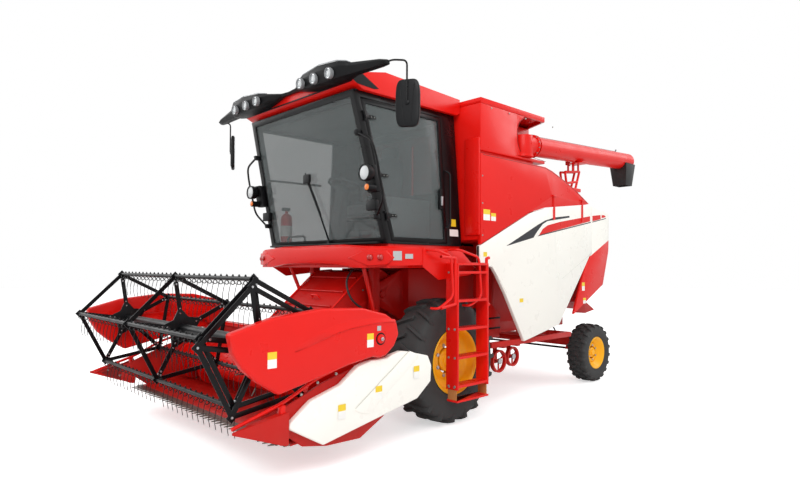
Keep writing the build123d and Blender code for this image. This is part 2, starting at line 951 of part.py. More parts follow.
with BuildPart() as door_hinges:
    for height in door_hinge_heights:
        top, low = door_axis(height + 45), door_axis(height - 45)
        bar(low, top, hinge_pin_radius)
        for shift in (-45, 30):
            x, station, z = door_axis(height + shift)
            block((x - door_axis_gap - 12, x + 6), (station - 24, station - 6), (z, z + 15))
            block((x - 10, x + 6), (station - 8, station + 6), (z, z + 15))

with BuildPart() as cab_shell:
    add(cab_frame.part)
    add(door_hinges.part)
finish("cab_frame", cab_shell)

with BuildPart() as cab_door:
    add(cab_solid(cab_floor, cab_top, 0))
    add(cab_solid(cab_floor - 10, cab_top + 10, cab_wall - 15), mode=Mode.SUBTRACT)
    side_plate(door_outline(swing_gap / 2), 0, body_half_width, mode=Mode.INTERSECT)
    side_plate(door_outline(50), 0, body_half_width, mode=Mode.SUBTRACT)
    corner_y, corner_z = door_outline(swing_gap / 2)[1]
    side_plate(
        ((corner_y - 10, corner_z + 1), (corner_y + 130, corner_z + 1), (corner_y - 10, corner_z - 14)),
        0,
        body_half_width,
        mode=Mode.SUBTRACT,
    )
    for height in door_hinge_heights:
        x, station, z = door_axis(height)
        block((x - door_axis_gap - 8, x), (station + 8, station + 50), (z - 20, z + 20))
        bar(door_axis(height - 25), door_axis(height + 25), 11)
        bore(door_axis(height - 26), door_axis(height + 26), hinge_pin_radius + pin_gap)
finish("cab_door", cab_door)

with BuildPart() as door_glass:
    add(cab_solid(cab_floor, cab_top, 12))
    add(cab_solid(cab_floor - 10, cab_top + 10, 12 + glass_thick), mode=Mode.SUBTRACT)
    side_plate(door_outline(50 + seat_gap), 0, body_half_width, mode=Mode.INTERSECT)
finish("door_glass", door_glass)

with BuildPart() as cab_glass:
    add(cab_solid(cab_floor, cab_top, 12))
    add(cab_solid(cab_floor - 10, cab_top + 10, 12 + glass_thick), mode=Mode.SUBTRACT)
    side_plate(door_outline(window_rim / 2 + seat_gap), -body_half_width, -300, mode=Mode.INTERSECT)
    right_glass = cab_glass.part
with BuildPart() as windscreen:
    add(cab_solid(cab_floor, cab_top, 12))
    add(cab_solid(cab_floor - 10, cab_top + 10, 12 + glass_thick), mode=Mode.SUBTRACT)
    with BuildSketch(Plane.XZ.offset(-front_axle_y - cab_floor_rear + 500)) as windscreen_face:
        with BuildLine():
            low_half = cab_at(front_low)[0] - cab_pillar - seat_gap
            high_half = cab_at(front_high)[0] - cab_pillar - seat_gap
            Polyline(
                (-low_half, front_low + seat_gap),
                (low_half, front_low + seat_gap),
                (high_half, front_high - seat_gap),
                (-high_half, front_high - seat_gap),
                close=True,
            )
        make_face()
    extrude(windscreen_face.sketch, amount=1500, mode=Mode.INTERSECT)
with BuildPart() as cab_glazing:
    add(right_glass)
    add(windscreen.part)
    block((-650 + seat_gap, 650 - seat_gap), (345, 353), (2450 + seat_gap, 3150 - seat_gap))
finish("cab_glass", cab_glazing)

# Cab roof and visor

with BuildPart() as cab_roof:
    side_plate(
        (
            (-1000, cab_top + seat_gap),
            (roof_front, cab_top + 60),
            (roof_front, 3440),
            (-712, roof_top),
            (tank_front - swing_gap, 3483),
            (tank_front - swing_gap, cab_top + 30),
            (cab_top_rear, cab_top + seat_gap),
        ),
        -1000,
        1000,
    )
    for x in (-lid_hinge_x, lid_hinge_x):
        for low in (x - 48, x + 36):
            block(
                (low, low + 12),
                (tank_front - swing_gap - 5, lid_axis[0] + 6),
                (lid_axis[1] - 6, lid_axis[1] + 6),
            )
        bar((x - 48, *lid_axis), (x + 48, *lid_axis), lid_pin_radius)
finish("cab_roof", cab_roof)

outrigger_low = 3395.0
visor_stations = ((427.0, 3.0), (654.0, 0.0), (898.0, -4.0))
with BuildPart() as roof_visor:
    visor_rear = roof_front - seat_gap
    block((-1010, 1010), (-1290, visor_rear), (3440, 3480))
    for side in (1, -1):
        side_plate(
            (
                (-1330, 3400),
                (-1360, 3430),
                (-1320, 3500),
                (visor_rear, 3530),
                (visor_rear, 3380),
            ),
            *span(side, 330, 1010),
        )
        for x, lift in visor_stations:
            bar((side * x, -1340, 3425 + lift), (side * x, -1300, 3425 + lift), 48)
        block(span(side, 1010, 1560), (-1230, -1150), (outrigger_low, 3450))
finish("roof_visor", roof_visor)

mirror_x = 1600.0
mirror_y = -970.0
with BuildPart() as mirrors:
    for side in (1, -1):
        block(span(side, mirror_x - 110, mirror_x + 110), (mirror_y - 40, mirror_y + 15), (2835, 3262))
        bar((side * 1545, -1190, outrigger_low - seat_gap), (side * 1545, -1190, 3340), 13)
        bar((side * 1545, -1190, 3345), (side * mirror_x, mirror_y - 20, 3345), 16)
        bar((side * mirror_x, mirror_y - 20, 3365), (side * mirror_x, mirror_y - 20, 3240), 12)
finish("mirrors", mirrors)

lamp_z = 2490.0
# Columns: low and high edge, then near and far side of each foot
lamp_feet = (
    (lamp_z - 170, lamp_z + 80, (960, 1100)),
    (2865, 2915, (915, 965)),
    (2065, 2115, (985, 1030)),
)
with BuildPart() as pillar_lamps:
    front_at_lamp = cab_at(lamp_z)[1]
    for side in (1, -1):
        bar((side * 1060, front_at_lamp - 150, lamp_z), (side * 1060, front_at_lamp - 55, lamp_z), 80)
        bar(
            (side * 1070, front_at_lamp - 130, lamp_z - 135),
            (side * 1070, front_at_lamp - 20, lamp_z - 135),
            35,
        )
        for low, high, across in lamp_feet:
            side_plate(
                (
                    (cab_at(low)[1] - seat_gap, low),
                    (cab_at(high)[1] - seat_gap, high),
                    (cab_at(high)[1] - 60, high),
                    (cab_at(low)[1] - 60, low),
                ),
                *span(side, *across),
            )
        pipe(
            (
                (side * 945, cab_at(2890)[1] - 40, 2890),
                (side * 1150, cab_at(2800)[1] - 60, 2800),
                (side * 1180, cab_at(2650)[1] - 60, 2650),
                (side * 1180, cab_at(2250)[1] - 60, 2250),
                (side * 1010, cab_at(2090)[1] - 40, 2090),
            ),
            12,
        )
finish("pillar_lamps", pillar_lamps)

# Seat and steering console

with BuildPart() as operator_seat:
    block((-230, 230), (-180, 200), (cab_floor + 30 + seat_gap, 2180))
    block((-260, 260), (-300, 200), (2180, 2320))
    side_plate(((140, 2320), (230, 2320), (300, 2900), (230, 2900)), -240, 240)
    side_plate(((240, 2900), (290, 2900), (305, 3060), (255, 3060)), -130, 130)
finish("operator_seat", operator_seat)

with BuildPart() as steering_console:
    side_plate(
        ((-600, cab_floor + 30 + seat_gap), (-480, cab_floor + 30 + seat_gap), (-425, 2510), (-500, 2525)),
        -70,
        70,
    )
    with BuildSketch(Plane(origin=(0, front_axle_y - 440, 2520), z_dir=(0, 0.35, 1))):
        Circle(190)
        Circle(168, mode=Mode.SUBTRACT)
    extrude(amount=22)
    block((-180, 180), (-452, -428), (2500, 2530))
    block((290, 420), (-200, 200), (cab_floor + 30 + seat_gap, 2350))
finish("steering_console", steering_console)

# Platform with braces, fascia, ladder and its straps

with BuildPart() as platform:
    block((-1150, 1150), (-800, cab_floor_rear), (deck_bottom, deck_bottom + deck_thick))
    block((-1040, 1040), (-700, cab_floor_rear - 20), (deck_bottom + deck_thick, cab_floor - seat_gap))
    block((1150, walkway_outer), (-560, tank_front - 20), (deck_bottom + 30, deck_bottom + deck_thick))
    for side in (1, -1):
        bar((side * 670, -700, deck_bottom), (side * 620, rail_front - 20, 1100), 22)
        block(span(side, 575, 650), (rail_front - 40, rail_front - seat_gap), (1060, 1150))
finish("platform", platform)

with BuildPart() as front_fascia:
    with BuildSketch(Plane.XZ.offset(-front_axle_y + 800 + seat_gap)):
        with BuildLine():
            Polyline(
                (-1210, 1800),
                (-1160, 1615),
                (-1000, 1600),
                (-830, 1570),
                (-560, 1612),
                (560, 1612),
                (830, 1570),
                (1000, 1600),
                (1160, 1615),
                (1210, 1800),
                (560, 1828),
                (-560, 1828),
                close=True,
            )
        make_face()
    extrude(amount=110)
finish("front_fascia", front_fascia)

steps = 5
with BuildPart() as ladder:
    for station in (ladder_front, ladder_rear):
        block((ladder_inner, ladder_outer), (station, station + ladder_plate), (400, 1640))
    for n in range(steps):
        height = 420 + n * step_rise * 0.93
        block(
            (ladder_inner + 10, ladder_outer),
            (ladder_front + ladder_plate, ladder_rear),
            (height, height + 25),
        )
    block((walkway_outer + seat_gap, ladder_outer), (ladder_front, ladder_rear + ladder_plate), (1621, 1640))
    for station, ends in ((ladder_front - 10, -210), (ladder_rear + 10, 40)):
        pipe(
            (
                (1500, station + ends, 1700),
                (1500, station, 1690),
                (1500, station, 1240),
                (1500, station + ends, 1210),
            ),
            15,
        )
finish("ladder", ladder)

with BuildPart() as step_straps:
    for station in (ladder_front, ladder_rear):
        block((ladder_inner + 20, ladder_outer - 20), (station + 4, station + 14), (300, 400 - seat_gap))
    block((ladder_inner + 10, ladder_outer), (ladder_front, ladder_rear + ladder_plate), (280, 300))
finish("step_straps", step_straps)

# Header: feeder house, table, end shields, knife, feed auger and lift cylinders

pivot_y, pivot_z = header_pivot
with BuildPart() as feeder_house:
    side_plate(
        (
            (header_back + 12 + seat_gap, 300),
            (header_back + 12 + seat_gap, header_back_top - seat_gap),
            (header_back + top_beam + seat_gap, header_back_top - seat_gap),
            (header_back + top_beam + seat_gap, header_back_top + top_beam + 20),
            (pivot_y - 190, pivot_z + 240),
            (pivot_y + 60, pivot_z + 260),
            (pivot_y + 200, pivot_z + 170),
            (pivot_y + 270, pivot_z),
            (pivot_y + 200, pivot_z - 180),
            (pivot_y, pivot_z - 290),
        ),
        -feeder_half,
        feeder_half,
    )
    side_plate(
        (
            (header_back, 330),
            (header_back, header_back_top - 15),
            (header_back + top_beam + 15, header_back_top - 15),
            (header_back + top_beam + 15, header_back_top + top_beam + 5),
            (pivot_y - 180, pivot_z + 215),
            (pivot_y + 50, pivot_z + 230),
            (pivot_y + 190, pivot_z + 150),
            (pivot_y + 280, pivot_z + 110),
            (pivot_y + 280, pivot_z - 120),
            (pivot_y - 10, pivot_z - 255),
        ),
        -feeder_half + 15,
        feeder_half - 15,
        mode=Mode.SUBTRACT,
    )
    for side in (1, -1):
        bar(
            (side * (feeder_half - 10), *header_pivot),
            (side * (feeder_half + 70), *header_pivot),
            feeder_pin_radius,
        )
        for inner in (-45.0, 30.0):
            x_low = side * lift_x + inner
            side_plate(
                (
                    (lift_eye[0] - 45, lift_eye[1] - 40),
                    (lift_eye[0] + 45, lift_eye[1] - 40),
                    (lift_eye[0] + 75, lift_eye[1] + 140),
                    (lift_eye[0] - 45, lift_eye[1] + 60),
                ),
                x_low,
                x_low + 15,
            )
        bar((side * lift_x - 45, *lift_eye), (side * lift_x + 45, *lift_eye), lift_pin_radius)
finish("feeder_house", feeder_house)

auger_y, auger_z = auger_axis
with BuildPart() as header_table:
    with BuildSketch(Plane.YZ.offset(-header_half)):
        with BuildLine():
            down = radians(trough_start)
            floor_start = (
                front_axle_y + auger_y + trough_radius * cos(down),
                auger_z + trough_radius * sin(down),
            )
            back_start = (front_axle_y + auger_y + trough_radius, auger_z)
            bottom = (front_axle_y + auger_y, auger_z - trough_radius)
            Polyline((front_axle_y - 2110, 270), floor_start)
            ThreePointArc(floor_start, bottom, back_start)
            Polyline(
                back_start,
                (front_axle_y + header_back, header_back_top),
                (front_axle_y + header_back + 12, header_back_top),
                (front_axle_y + auger_y + trough_radius + 12, auger_z),
            )
            ThreePointArc(
                (front_axle_y + auger_y + trough_radius + 12, auger_z),
                (front_axle_y + auger_y, auger_z - trough_radius - 12),
                (
                    front_axle_y + auger_y + (trough_radius + 12) * cos(down),
                    auger_z + (trough_radius + 12) * sin(down),
                ),
            )
            Polyline(
                (
                    front_axle_y + auger_y + (trough_radius + 12) * cos(down),
                    auger_z + (trough_radius + 12) * sin(down),
                ),
                (front_axle_y - 2110, 256),
                (front_axle_y - 2110, 270),
            )
        make_face()
    extrude(amount=2 * header_half)
    block(
        (-feeder_half + 15, feeder_half - 15),
        (header_back - 60, header_back + 40),
        (345, header_back_top - 30),
        mode=Mode.SUBTRACT,
    )
    block(
        (-header_half, header_half),
        (header_back, header_back + top_beam),
        (header_back_top, header_back_top + top_beam),
    )
    for side in (1, -1):
        side_plate(
            (
                (-2229, 538),
                (-2125, 580),
                (-1945, 648),
                (-1845, 690),
                (-1689, 733),
                (-1482, 778),
                (header_back - 20, header_back_top + top_beam),
                (header_back + top_beam, header_back_top + top_beam),
                (header_back + top_beam, 330),
                (-1448, 190),
                (-1789, 198),
                (-2015, 240),
                (-2229, 400),
            ),
            *span(side, header_half, header_half + side_sheet),
        )
        low = span(side, 1150, 1230)
        side_plate(
            (
                (-1900, 258),
                (-1643, 221),
                (-1448, 182),
                (-1257, 227),
                (-1118, 293),
                (-1130, 310),
                (-1290, 330),
                (-1380, 325),
                (-1460, 285),
                (-1550, 268),
                (-1700, 268),
            ),
            *low,
        )
        add(
            flat_loft(
                [
                    [
                        (
                            side * (header_half + middle + along * reach),
                            front_axle_y + station,
                            height + up * rise,
                        )
                        for along, up in ((-1, -1), (1, -1), (1, 1), (-1, 1))
                    ]
                    for station, middle, reach, height, rise in ((-2200, 45, 45, 415, 120), (-2625, 80, 8, 462, 8))
                ]
            )
        )
        block(span(side, header_half, header_half + 90), (-2200, -2180), (300, 535))
        hub_y, hub_z = arm_hub
        side_plate(
            (
                (hub_y - 55, header_back_top + top_beam - 20),
                (hub_y - 55, hub_z + 40),
                (hub_y + 55, hub_z + 40),
                (hub_y + 110, header_back_top + top_beam - 20),
            ),
            *span(side, arm_inner - 45, arm_inner - swing_gap),
        )
        bar((side * (arm_inner - 45), *arm_hub), (side * (arm_inner + arm_width - 4), *arm_hub), 30)
finish("header_table", header_table)

shield_outline = (
    (-2170, 441),
    (-1975, 586),
    (-1694, 668),
    (-1517, 795),
    (-1373, 828),
    (-1193, 828),
    (-1147, 850),
    (-1036, 870),
    (-954, 860),
    (-697, 798),
    (-652, 707),
    (-661, 562),
    (-834, 431),
    (-1860, 231),
    (-2170, 407),
)
with BuildPart() as header_shields:
    for side in (1, -1):
        near = header_half + side_sheet + seat_gap
        side_plate(shield_outline, *span(side, near, near + 60))
finish("header_shields", header_shields)

with BuildPart() as knife_bar:
    block((-header_half + 2, header_half - 2), (-2160, -2110 - seat_gap), (262, 274))
    guards = int(2 * header_half / knife_pitch) - 1
    with BuildSketch(Plane.XY.offset(266)):
        with BuildLine():
            teeth = []
            first = -guards / 2 * knife_pitch
            for n in range(guards):
                x = first + n * knife_pitch
                teeth += [
                    (x + 8, front_axle_y - 2160),
                    (x + 38, front_axle_y - 2250),
                    (x + 68, front_axle_y - 2160),
                ]
            last = first + guards * knife_pitch
            Polyline(*teeth, (last, front_axle_y - 2150), (first, front_axle_y - 2150), close=True)
        make_face()
    extrude(amount=8)
finish("knife_bar", knife_bar)

# Feed auger: drum, two flights that carry the crop inwards, and fingers between them

flight_turns = 2.25
flight_steps = 8
with BuildPart() as header_auger:
    bar((swing_gap - header_half, *auger_axis), (header_half - swing_gap, *auger_axis), drum_radius, sides=12)
    half_step = radians(180 / flight_steps)
    flight_rise = flight_radius * cos(half_step) - drum_radius + 10
    for side in (1, -1):
        end_x = feeder_half - 40
        slope = (header_half - end_x) / radians(360 * flight_turns) / flight_radius
        start_x = header_half - swing_gap - slope * flight_radius * sin(half_step) - flight_thick
        count = int(flight_turns * flight_steps)
        for n in range(count + 1):
            turn = side * 2 * n * half_step
            radial = Vector(0, cos(turn), sin(turn))
            along = Vector(-slope, -sin(turn), cos(turn))
            x = side * (start_x + (end_x - start_x) * n / count)
            middle = Vector(x, front_axle_y + auger_y, auger_z) + radial * (
                drum_radius - 10 + flight_rise / 2
            )
            with Locations(Plane(origin=middle, x_dir=radial, z_dir=along)):
                Box(flight_rise, flight_thick, 2 * flight_radius * sin(half_step))
    for n in range(6):
        turn = radians(60 * n)
        x = -250 + 100 * n
        bar((x, auger_y, auger_z), (x, auger_y + 240 * cos(turn), auger_z + 240 * sin(turn)), 9)
    for side in (1, -1):
        x_end = header_half - swing_gap
        bar((side * (x_end - 20), *auger_axis), (side * (header_half - seat_gap), *auger_axis), 35)
finish("header_auger", header_auger)

with BuildPart() as lift_barrels:
    for side in (1, -1):
        x = side * lift_x
        foot_y, foot_z = lift_foot
        bar((x, foot_y - 25, foot_z), (x, foot_y - 560, foot_z), lift_barrel_radius)
        bar((x - 30, *lift_foot), (x + 30, *lift_foot), 38)
        bore((x - 30, *lift_foot), (x + 30, *lift_foot), lift_pin_radius + pin_gap)
        bore((x, foot_y - 70, foot_z), (x, foot_y - 561, foot_z), lift_rod_radius + pin_gap)
finish("lift_barrels", lift_barrels)

with BuildPart() as lift_rods:
    for side in (1, -1):
        x = side * lift_x
        foot_y, foot_z = lift_foot
        bar((x, foot_y - 220, foot_z), (x, lift_eye[0] + 40, lift_eye[1]), lift_rod_radius)
        bar((x - 22, *lift_eye), (x + 22, *lift_eye), 46)
        bore((x - 22, *lift_eye), (x + 22, *lift_eye), lift_pin_radius + 13)
finish("lift_rods", lift_rods)

# Reel arms, covers, reel, control ring and tine bars

reel_y, reel_z = reel_axis
hub_y, hub_z = arm_hub
arm_outer = arm_inner + arm_width
with BuildPart() as reel_arms:
    for side in (1, -1):
        across = span(side, arm_inner, arm_outer)
        side_plate(
            (
                (hub_y + 60, hub_z + 55),
                (hub_y + 50, hub_z - 20),
                (hub_y + 15, hub_z - 50),
                (reel_y - 60, reel_z - 50),
                (reel_y - 60, reel_z + 50),
            ),
            *across,
        )
        bore((across[0], *arm_hub), (across[1], *arm_hub), 30 + pin_gap)
        bore((across[0], *reel_axis), (across[1], *reel_axis), reel_shaft_radius + pin_gap)
finish("reel_arms", reel_arms)

cover_outline = (
    (-2671, 1143),
    (-2332, 1236),
    (-1899, 1282),
    (-1498, 1268),
    (-1247, 1206),
    (-1123, 1131),
    (-1099, 1026),
    (-1153, 929),
    (-1245, 859),
    (-1320, 846),
    (-1394, 862),
    (-1634, 824),
    (-2281, 679),
    (-2465, 799),
    (-2569, 894),
    (-2640, 1011),
)
with BuildPart() as reel_covers:
    for side in (1, -1):
        side_plate(cover_outline, *span(side, arm_outer + seat_gap, cover_outer))
finish("reel_covers", reel_covers)

bar_angles = [reel_first_angle + n * 360 / reel_bars for n in range(reel_bars)]
bar_spots = [
    (reel_y + reel_radius * cos(radians(turn)), reel_z + reel_radius * sin(radians(turn))) for turn in bar_angles
]


def spider(x_low, thick, offset_yz, hole, round_eyes=True):
    """Add one five-sided spider plate: rim, arms, hub and the eyes at its corners."""
    middle_y = front_axle_y + reel_y + offset_yz[0]
    middle_z = reel_z + offset_yz[1]
    turn = reel_first_angle
    with BuildSketch(Plane.YZ.offset(x_low)) as plate:
        with Locations((middle_y, middle_z)):
            RegularPolygon(radius=reel_radius + 20, side_count=reel_bars, rotation=turn)
            RegularPolygon(radius=reel_radius - 26, side_count=reel_bars, rotation=turn, mode=Mode.SUBTRACT)
            for n in range(reel_bars):
                step = radians(turn + n * 360 / reel_bars)
                with Locations((reel_radius / 2 * cos(step), reel_radius / 2 * sin(step))):
                    Rectangle(reel_radius, 40, rotation=degrees(step))
            RegularPolygon(radius=125, side_count=reel_bars, rotation=turn)
            for n in range(reel_bars):
                step = radians(turn + n * 360 / reel_bars)
                with Locations((reel_radius * cos(step), reel_radius * sin(step))):
                    RegularPolygon(radius=42, side_count=4)
                    if round_eyes:
                        Circle(hole, mode=Mode.SUBTRACT)
                    else:
                        RegularPolygon(radius=hole, side_count=8, major_radius=False, mode=Mode.SUBTRACT)
    extrude(plate.sketch, amount=thick)


with BuildPart() as reel_rotor:
    for x in spider_x:
        spider(
            x - reel_plate / 2,
            reel_plate,
            (0, 0),
            reel_bar_radius + pin_gap,
            round_eyes=x == spider_x[-1],
        )
    bar((spider_x[0], *reel_axis), (spider_x[-1], *reel_axis), reel_tube_radius)
    bar((-arm_outer + 4, *reel_axis), (arm_outer - 4, *reel_axis), reel_shaft_radius)
finish("reel_rotor", reel_rotor)

control_pin = 9.0
with BuildPart() as reel_control:
    spider(control_x, reel_plate, control_offset, control_pin + pin_gap)
    bore(
        (control_x - 1, reel_y + control_offset[0], reel_z + control_offset[1]),
        (control_x + reel_plate + 1, reel_y + control_offset[0], reel_z + control_offset[1]),
        105,
    )
finish("reel_control", reel_control)

crank_x = 1428.0
for n, (bar_y, bar_z) in enumerate(bar_spots, start=1):
    with BuildPart() as tine_bar:
        bar((-reel_bar_half, bar_y, bar_z), (crank_x + 8, bar_y, bar_z), reel_bar_radius, sides=6)
        crank_end = (bar_y + control_offset[0], bar_z + control_offset[1])
        side_plate(
            (
                (bar_y - 18, bar_z + 12),
                (bar_y + 18, bar_z + 12),
                (crank_end[0] + 15, crank_end[1] - 12),
                (crank_end[0] - 15, crank_end[1] - 12),
            ),
            crank_x,
            crank_x + 8,
        )
        bar((crank_x + 8, *crank_end), (control_x + reel_plate + 8, *crank_end), control_pin)
        for place in range(-tines_each_way, tines_each_way + 1):
            x = place * tine_pitch + 30
            side_plate(
                (
                    (bar_y - 8, bar_z),
                    (bar_y + 6, bar_z - tine_drop),
                    (bar_y - 3, bar_z - tine_drop),
                    (bar_y - 18, bar_z),
                ),
                x - tine_wire / 2,
                x + tine_wire / 2,
            )
    finish(f"tine_bar_{n}", tine_bar)
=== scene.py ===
"""Looks of the wheeled grain harvester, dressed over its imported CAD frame.

Every length is in metres in the frame's own axes: X to the machine's left, Y to its rear and Z up.
A station is a distance behind the front axle. Most flat outlines are drawn in the side view, as
pairs of a station and a height.
"""

import json
import logging
import math
from dataclasses import dataclass
from enum import Enum

import bmesh
import bpy
from mathutils import Euler, Matrix, Vector

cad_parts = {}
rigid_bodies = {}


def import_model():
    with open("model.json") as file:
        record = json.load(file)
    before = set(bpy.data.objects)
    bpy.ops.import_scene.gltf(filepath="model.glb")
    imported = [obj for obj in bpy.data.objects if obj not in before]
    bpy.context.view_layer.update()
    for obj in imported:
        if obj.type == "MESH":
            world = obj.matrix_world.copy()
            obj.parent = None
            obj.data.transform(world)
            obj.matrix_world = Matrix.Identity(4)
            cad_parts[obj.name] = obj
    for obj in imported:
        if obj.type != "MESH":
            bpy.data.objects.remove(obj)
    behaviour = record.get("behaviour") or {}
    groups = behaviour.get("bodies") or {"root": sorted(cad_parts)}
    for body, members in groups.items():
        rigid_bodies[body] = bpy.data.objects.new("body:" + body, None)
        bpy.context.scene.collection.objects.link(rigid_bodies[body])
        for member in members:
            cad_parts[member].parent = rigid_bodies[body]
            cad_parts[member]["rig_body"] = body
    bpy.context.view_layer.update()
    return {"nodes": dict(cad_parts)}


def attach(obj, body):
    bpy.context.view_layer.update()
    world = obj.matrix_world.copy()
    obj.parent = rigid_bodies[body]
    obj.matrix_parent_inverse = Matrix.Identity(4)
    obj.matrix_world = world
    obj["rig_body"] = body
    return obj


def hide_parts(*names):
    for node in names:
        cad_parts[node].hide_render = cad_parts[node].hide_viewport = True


LOG = logging.getLogger("harvester")
FRONT_AXLE_Y = -0.5845
LEFTWARD = Vector((1, 0, 0))
AHEAD = Vector((0, -1, 0))
UP = Vector((0, 0, 1))

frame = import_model()

Pair = tuple[float, float]
Point = tuple[float, float, float]
Faces = list[tuple[int, ...]]
Piece = bpy.types.Object
Tree = bpy.types.NodeTree
Socket = bpy.types.NodeSocket


def at(x: float, station: float, z: float) -> Vector:
    """Turn a place given by its station into frame coordinates.

    Args:
        x: Distance to the machine's left.
        station: Distance behind the front axle.
        z: Height above the ground.

    Returns:
        The point in the frame.
    """
    return Vector((x, FRONT_AXLE_Y + station, z))


def body_of(node: str) -> str:
    """Name of the body that a CAD node is part of."""
    return frame["nodes"][node]["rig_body"]


# Colour and node helpers


def linear(code: str) -> tuple[float, float, float, float]:
    """Turn an sRGB hex colour into linear values.

    Args:
        code: Six hex digits with a leading hash.

    Returns:
        Linear red, green, blue and an alpha of one.
    """

    def channel(text: str) -> float:
        """Linearise one channel."""
        value = int(text, 16) / 255.0
        return value / 12.92 if value <= 0.04045 else ((value + 0.055) / 1.055) ** 2.4

    return (channel(code[1:3]), channel(code[3:5]), channel(code[5:7]), 1.0)


def add_node(
    tree: Tree,
    kind: str,
    settings: dict[str, object] | None = None,
    values: dict[str | int, object] | None = None,
    links: dict[str | int, Socket] | None = None,
) -> bpy.types.Node:
    """Add one node with its settings, input values and incoming links.

    Args:
        tree: Tree that takes the node.
        kind: Blender's node type name.
        settings: Attributes of the node.
        values: Default values by input name or index.
        links: Output sockets by the input that they feed.

    Returns:
        The new node.
    """
    made = tree.nodes.new(kind)
    for name, value in (settings or {}).items():
        setattr(made, name, value)
    for name, value in (values or {}).items():
        made.inputs[name].default_value = value
    for name, socket in (links or {}).items():
        tree.links.new(socket, made.inputs[name])
    return made


# Finishes: sizes of the patterns that all of them share, in millimetres

DRIFT_MM = 1000 / 2.2  # slow clouds of tone over a panel
PATCH_MM = 1000 / 6  # patches that shine more or less
DUST_MM = 1000 / 9  # clouds of settled dust
SMEAR_MM = 1000 / 3  # wiped streaks on glass
DUST_TOP = 1.1  # height to which the wheels throw dust, in metres
DUST_COLOUR = "#9A8C78"


def noise(tree: Tree, place: Socket, size_mm: float, detail: float, fade: float = 0.5) -> Socket:
    """Build a noise whose features have a real size.

    Args:
        tree: Material tree.
        place: Object coordinates.
        size_mm: Size of its features.
        detail: Octaves of finer noise on top.
        fade: How strong each octave is against the one before.

    Returns:
        The noise, mostly between 0.3 and 0.7.
    """
    values = {"Scale": 1000.0 / size_mm, "Detail": detail, "Roughness": fade}
    return add_node(tree, "ShaderNodeTexNoise", values=values, links={"Vector": place}).outputs["Fac"]


def spread(tree: Tree, value: Socket, low: float, high: float) -> Socket:
    """Stretch a noise over a range.

    Args:
        tree: Material tree.
        value: The noise.
        low: What its darker parts give.
        high: What its lighter parts give.

    Returns:
        The stretched value.
    """
    values = {"From Min": 0.3, "From Max": 0.7, "To Min": low, "To Max": high}
    return add_node(tree, "ShaderNodeMapRange", values=values, links={"Value": value}).outputs["Result"]


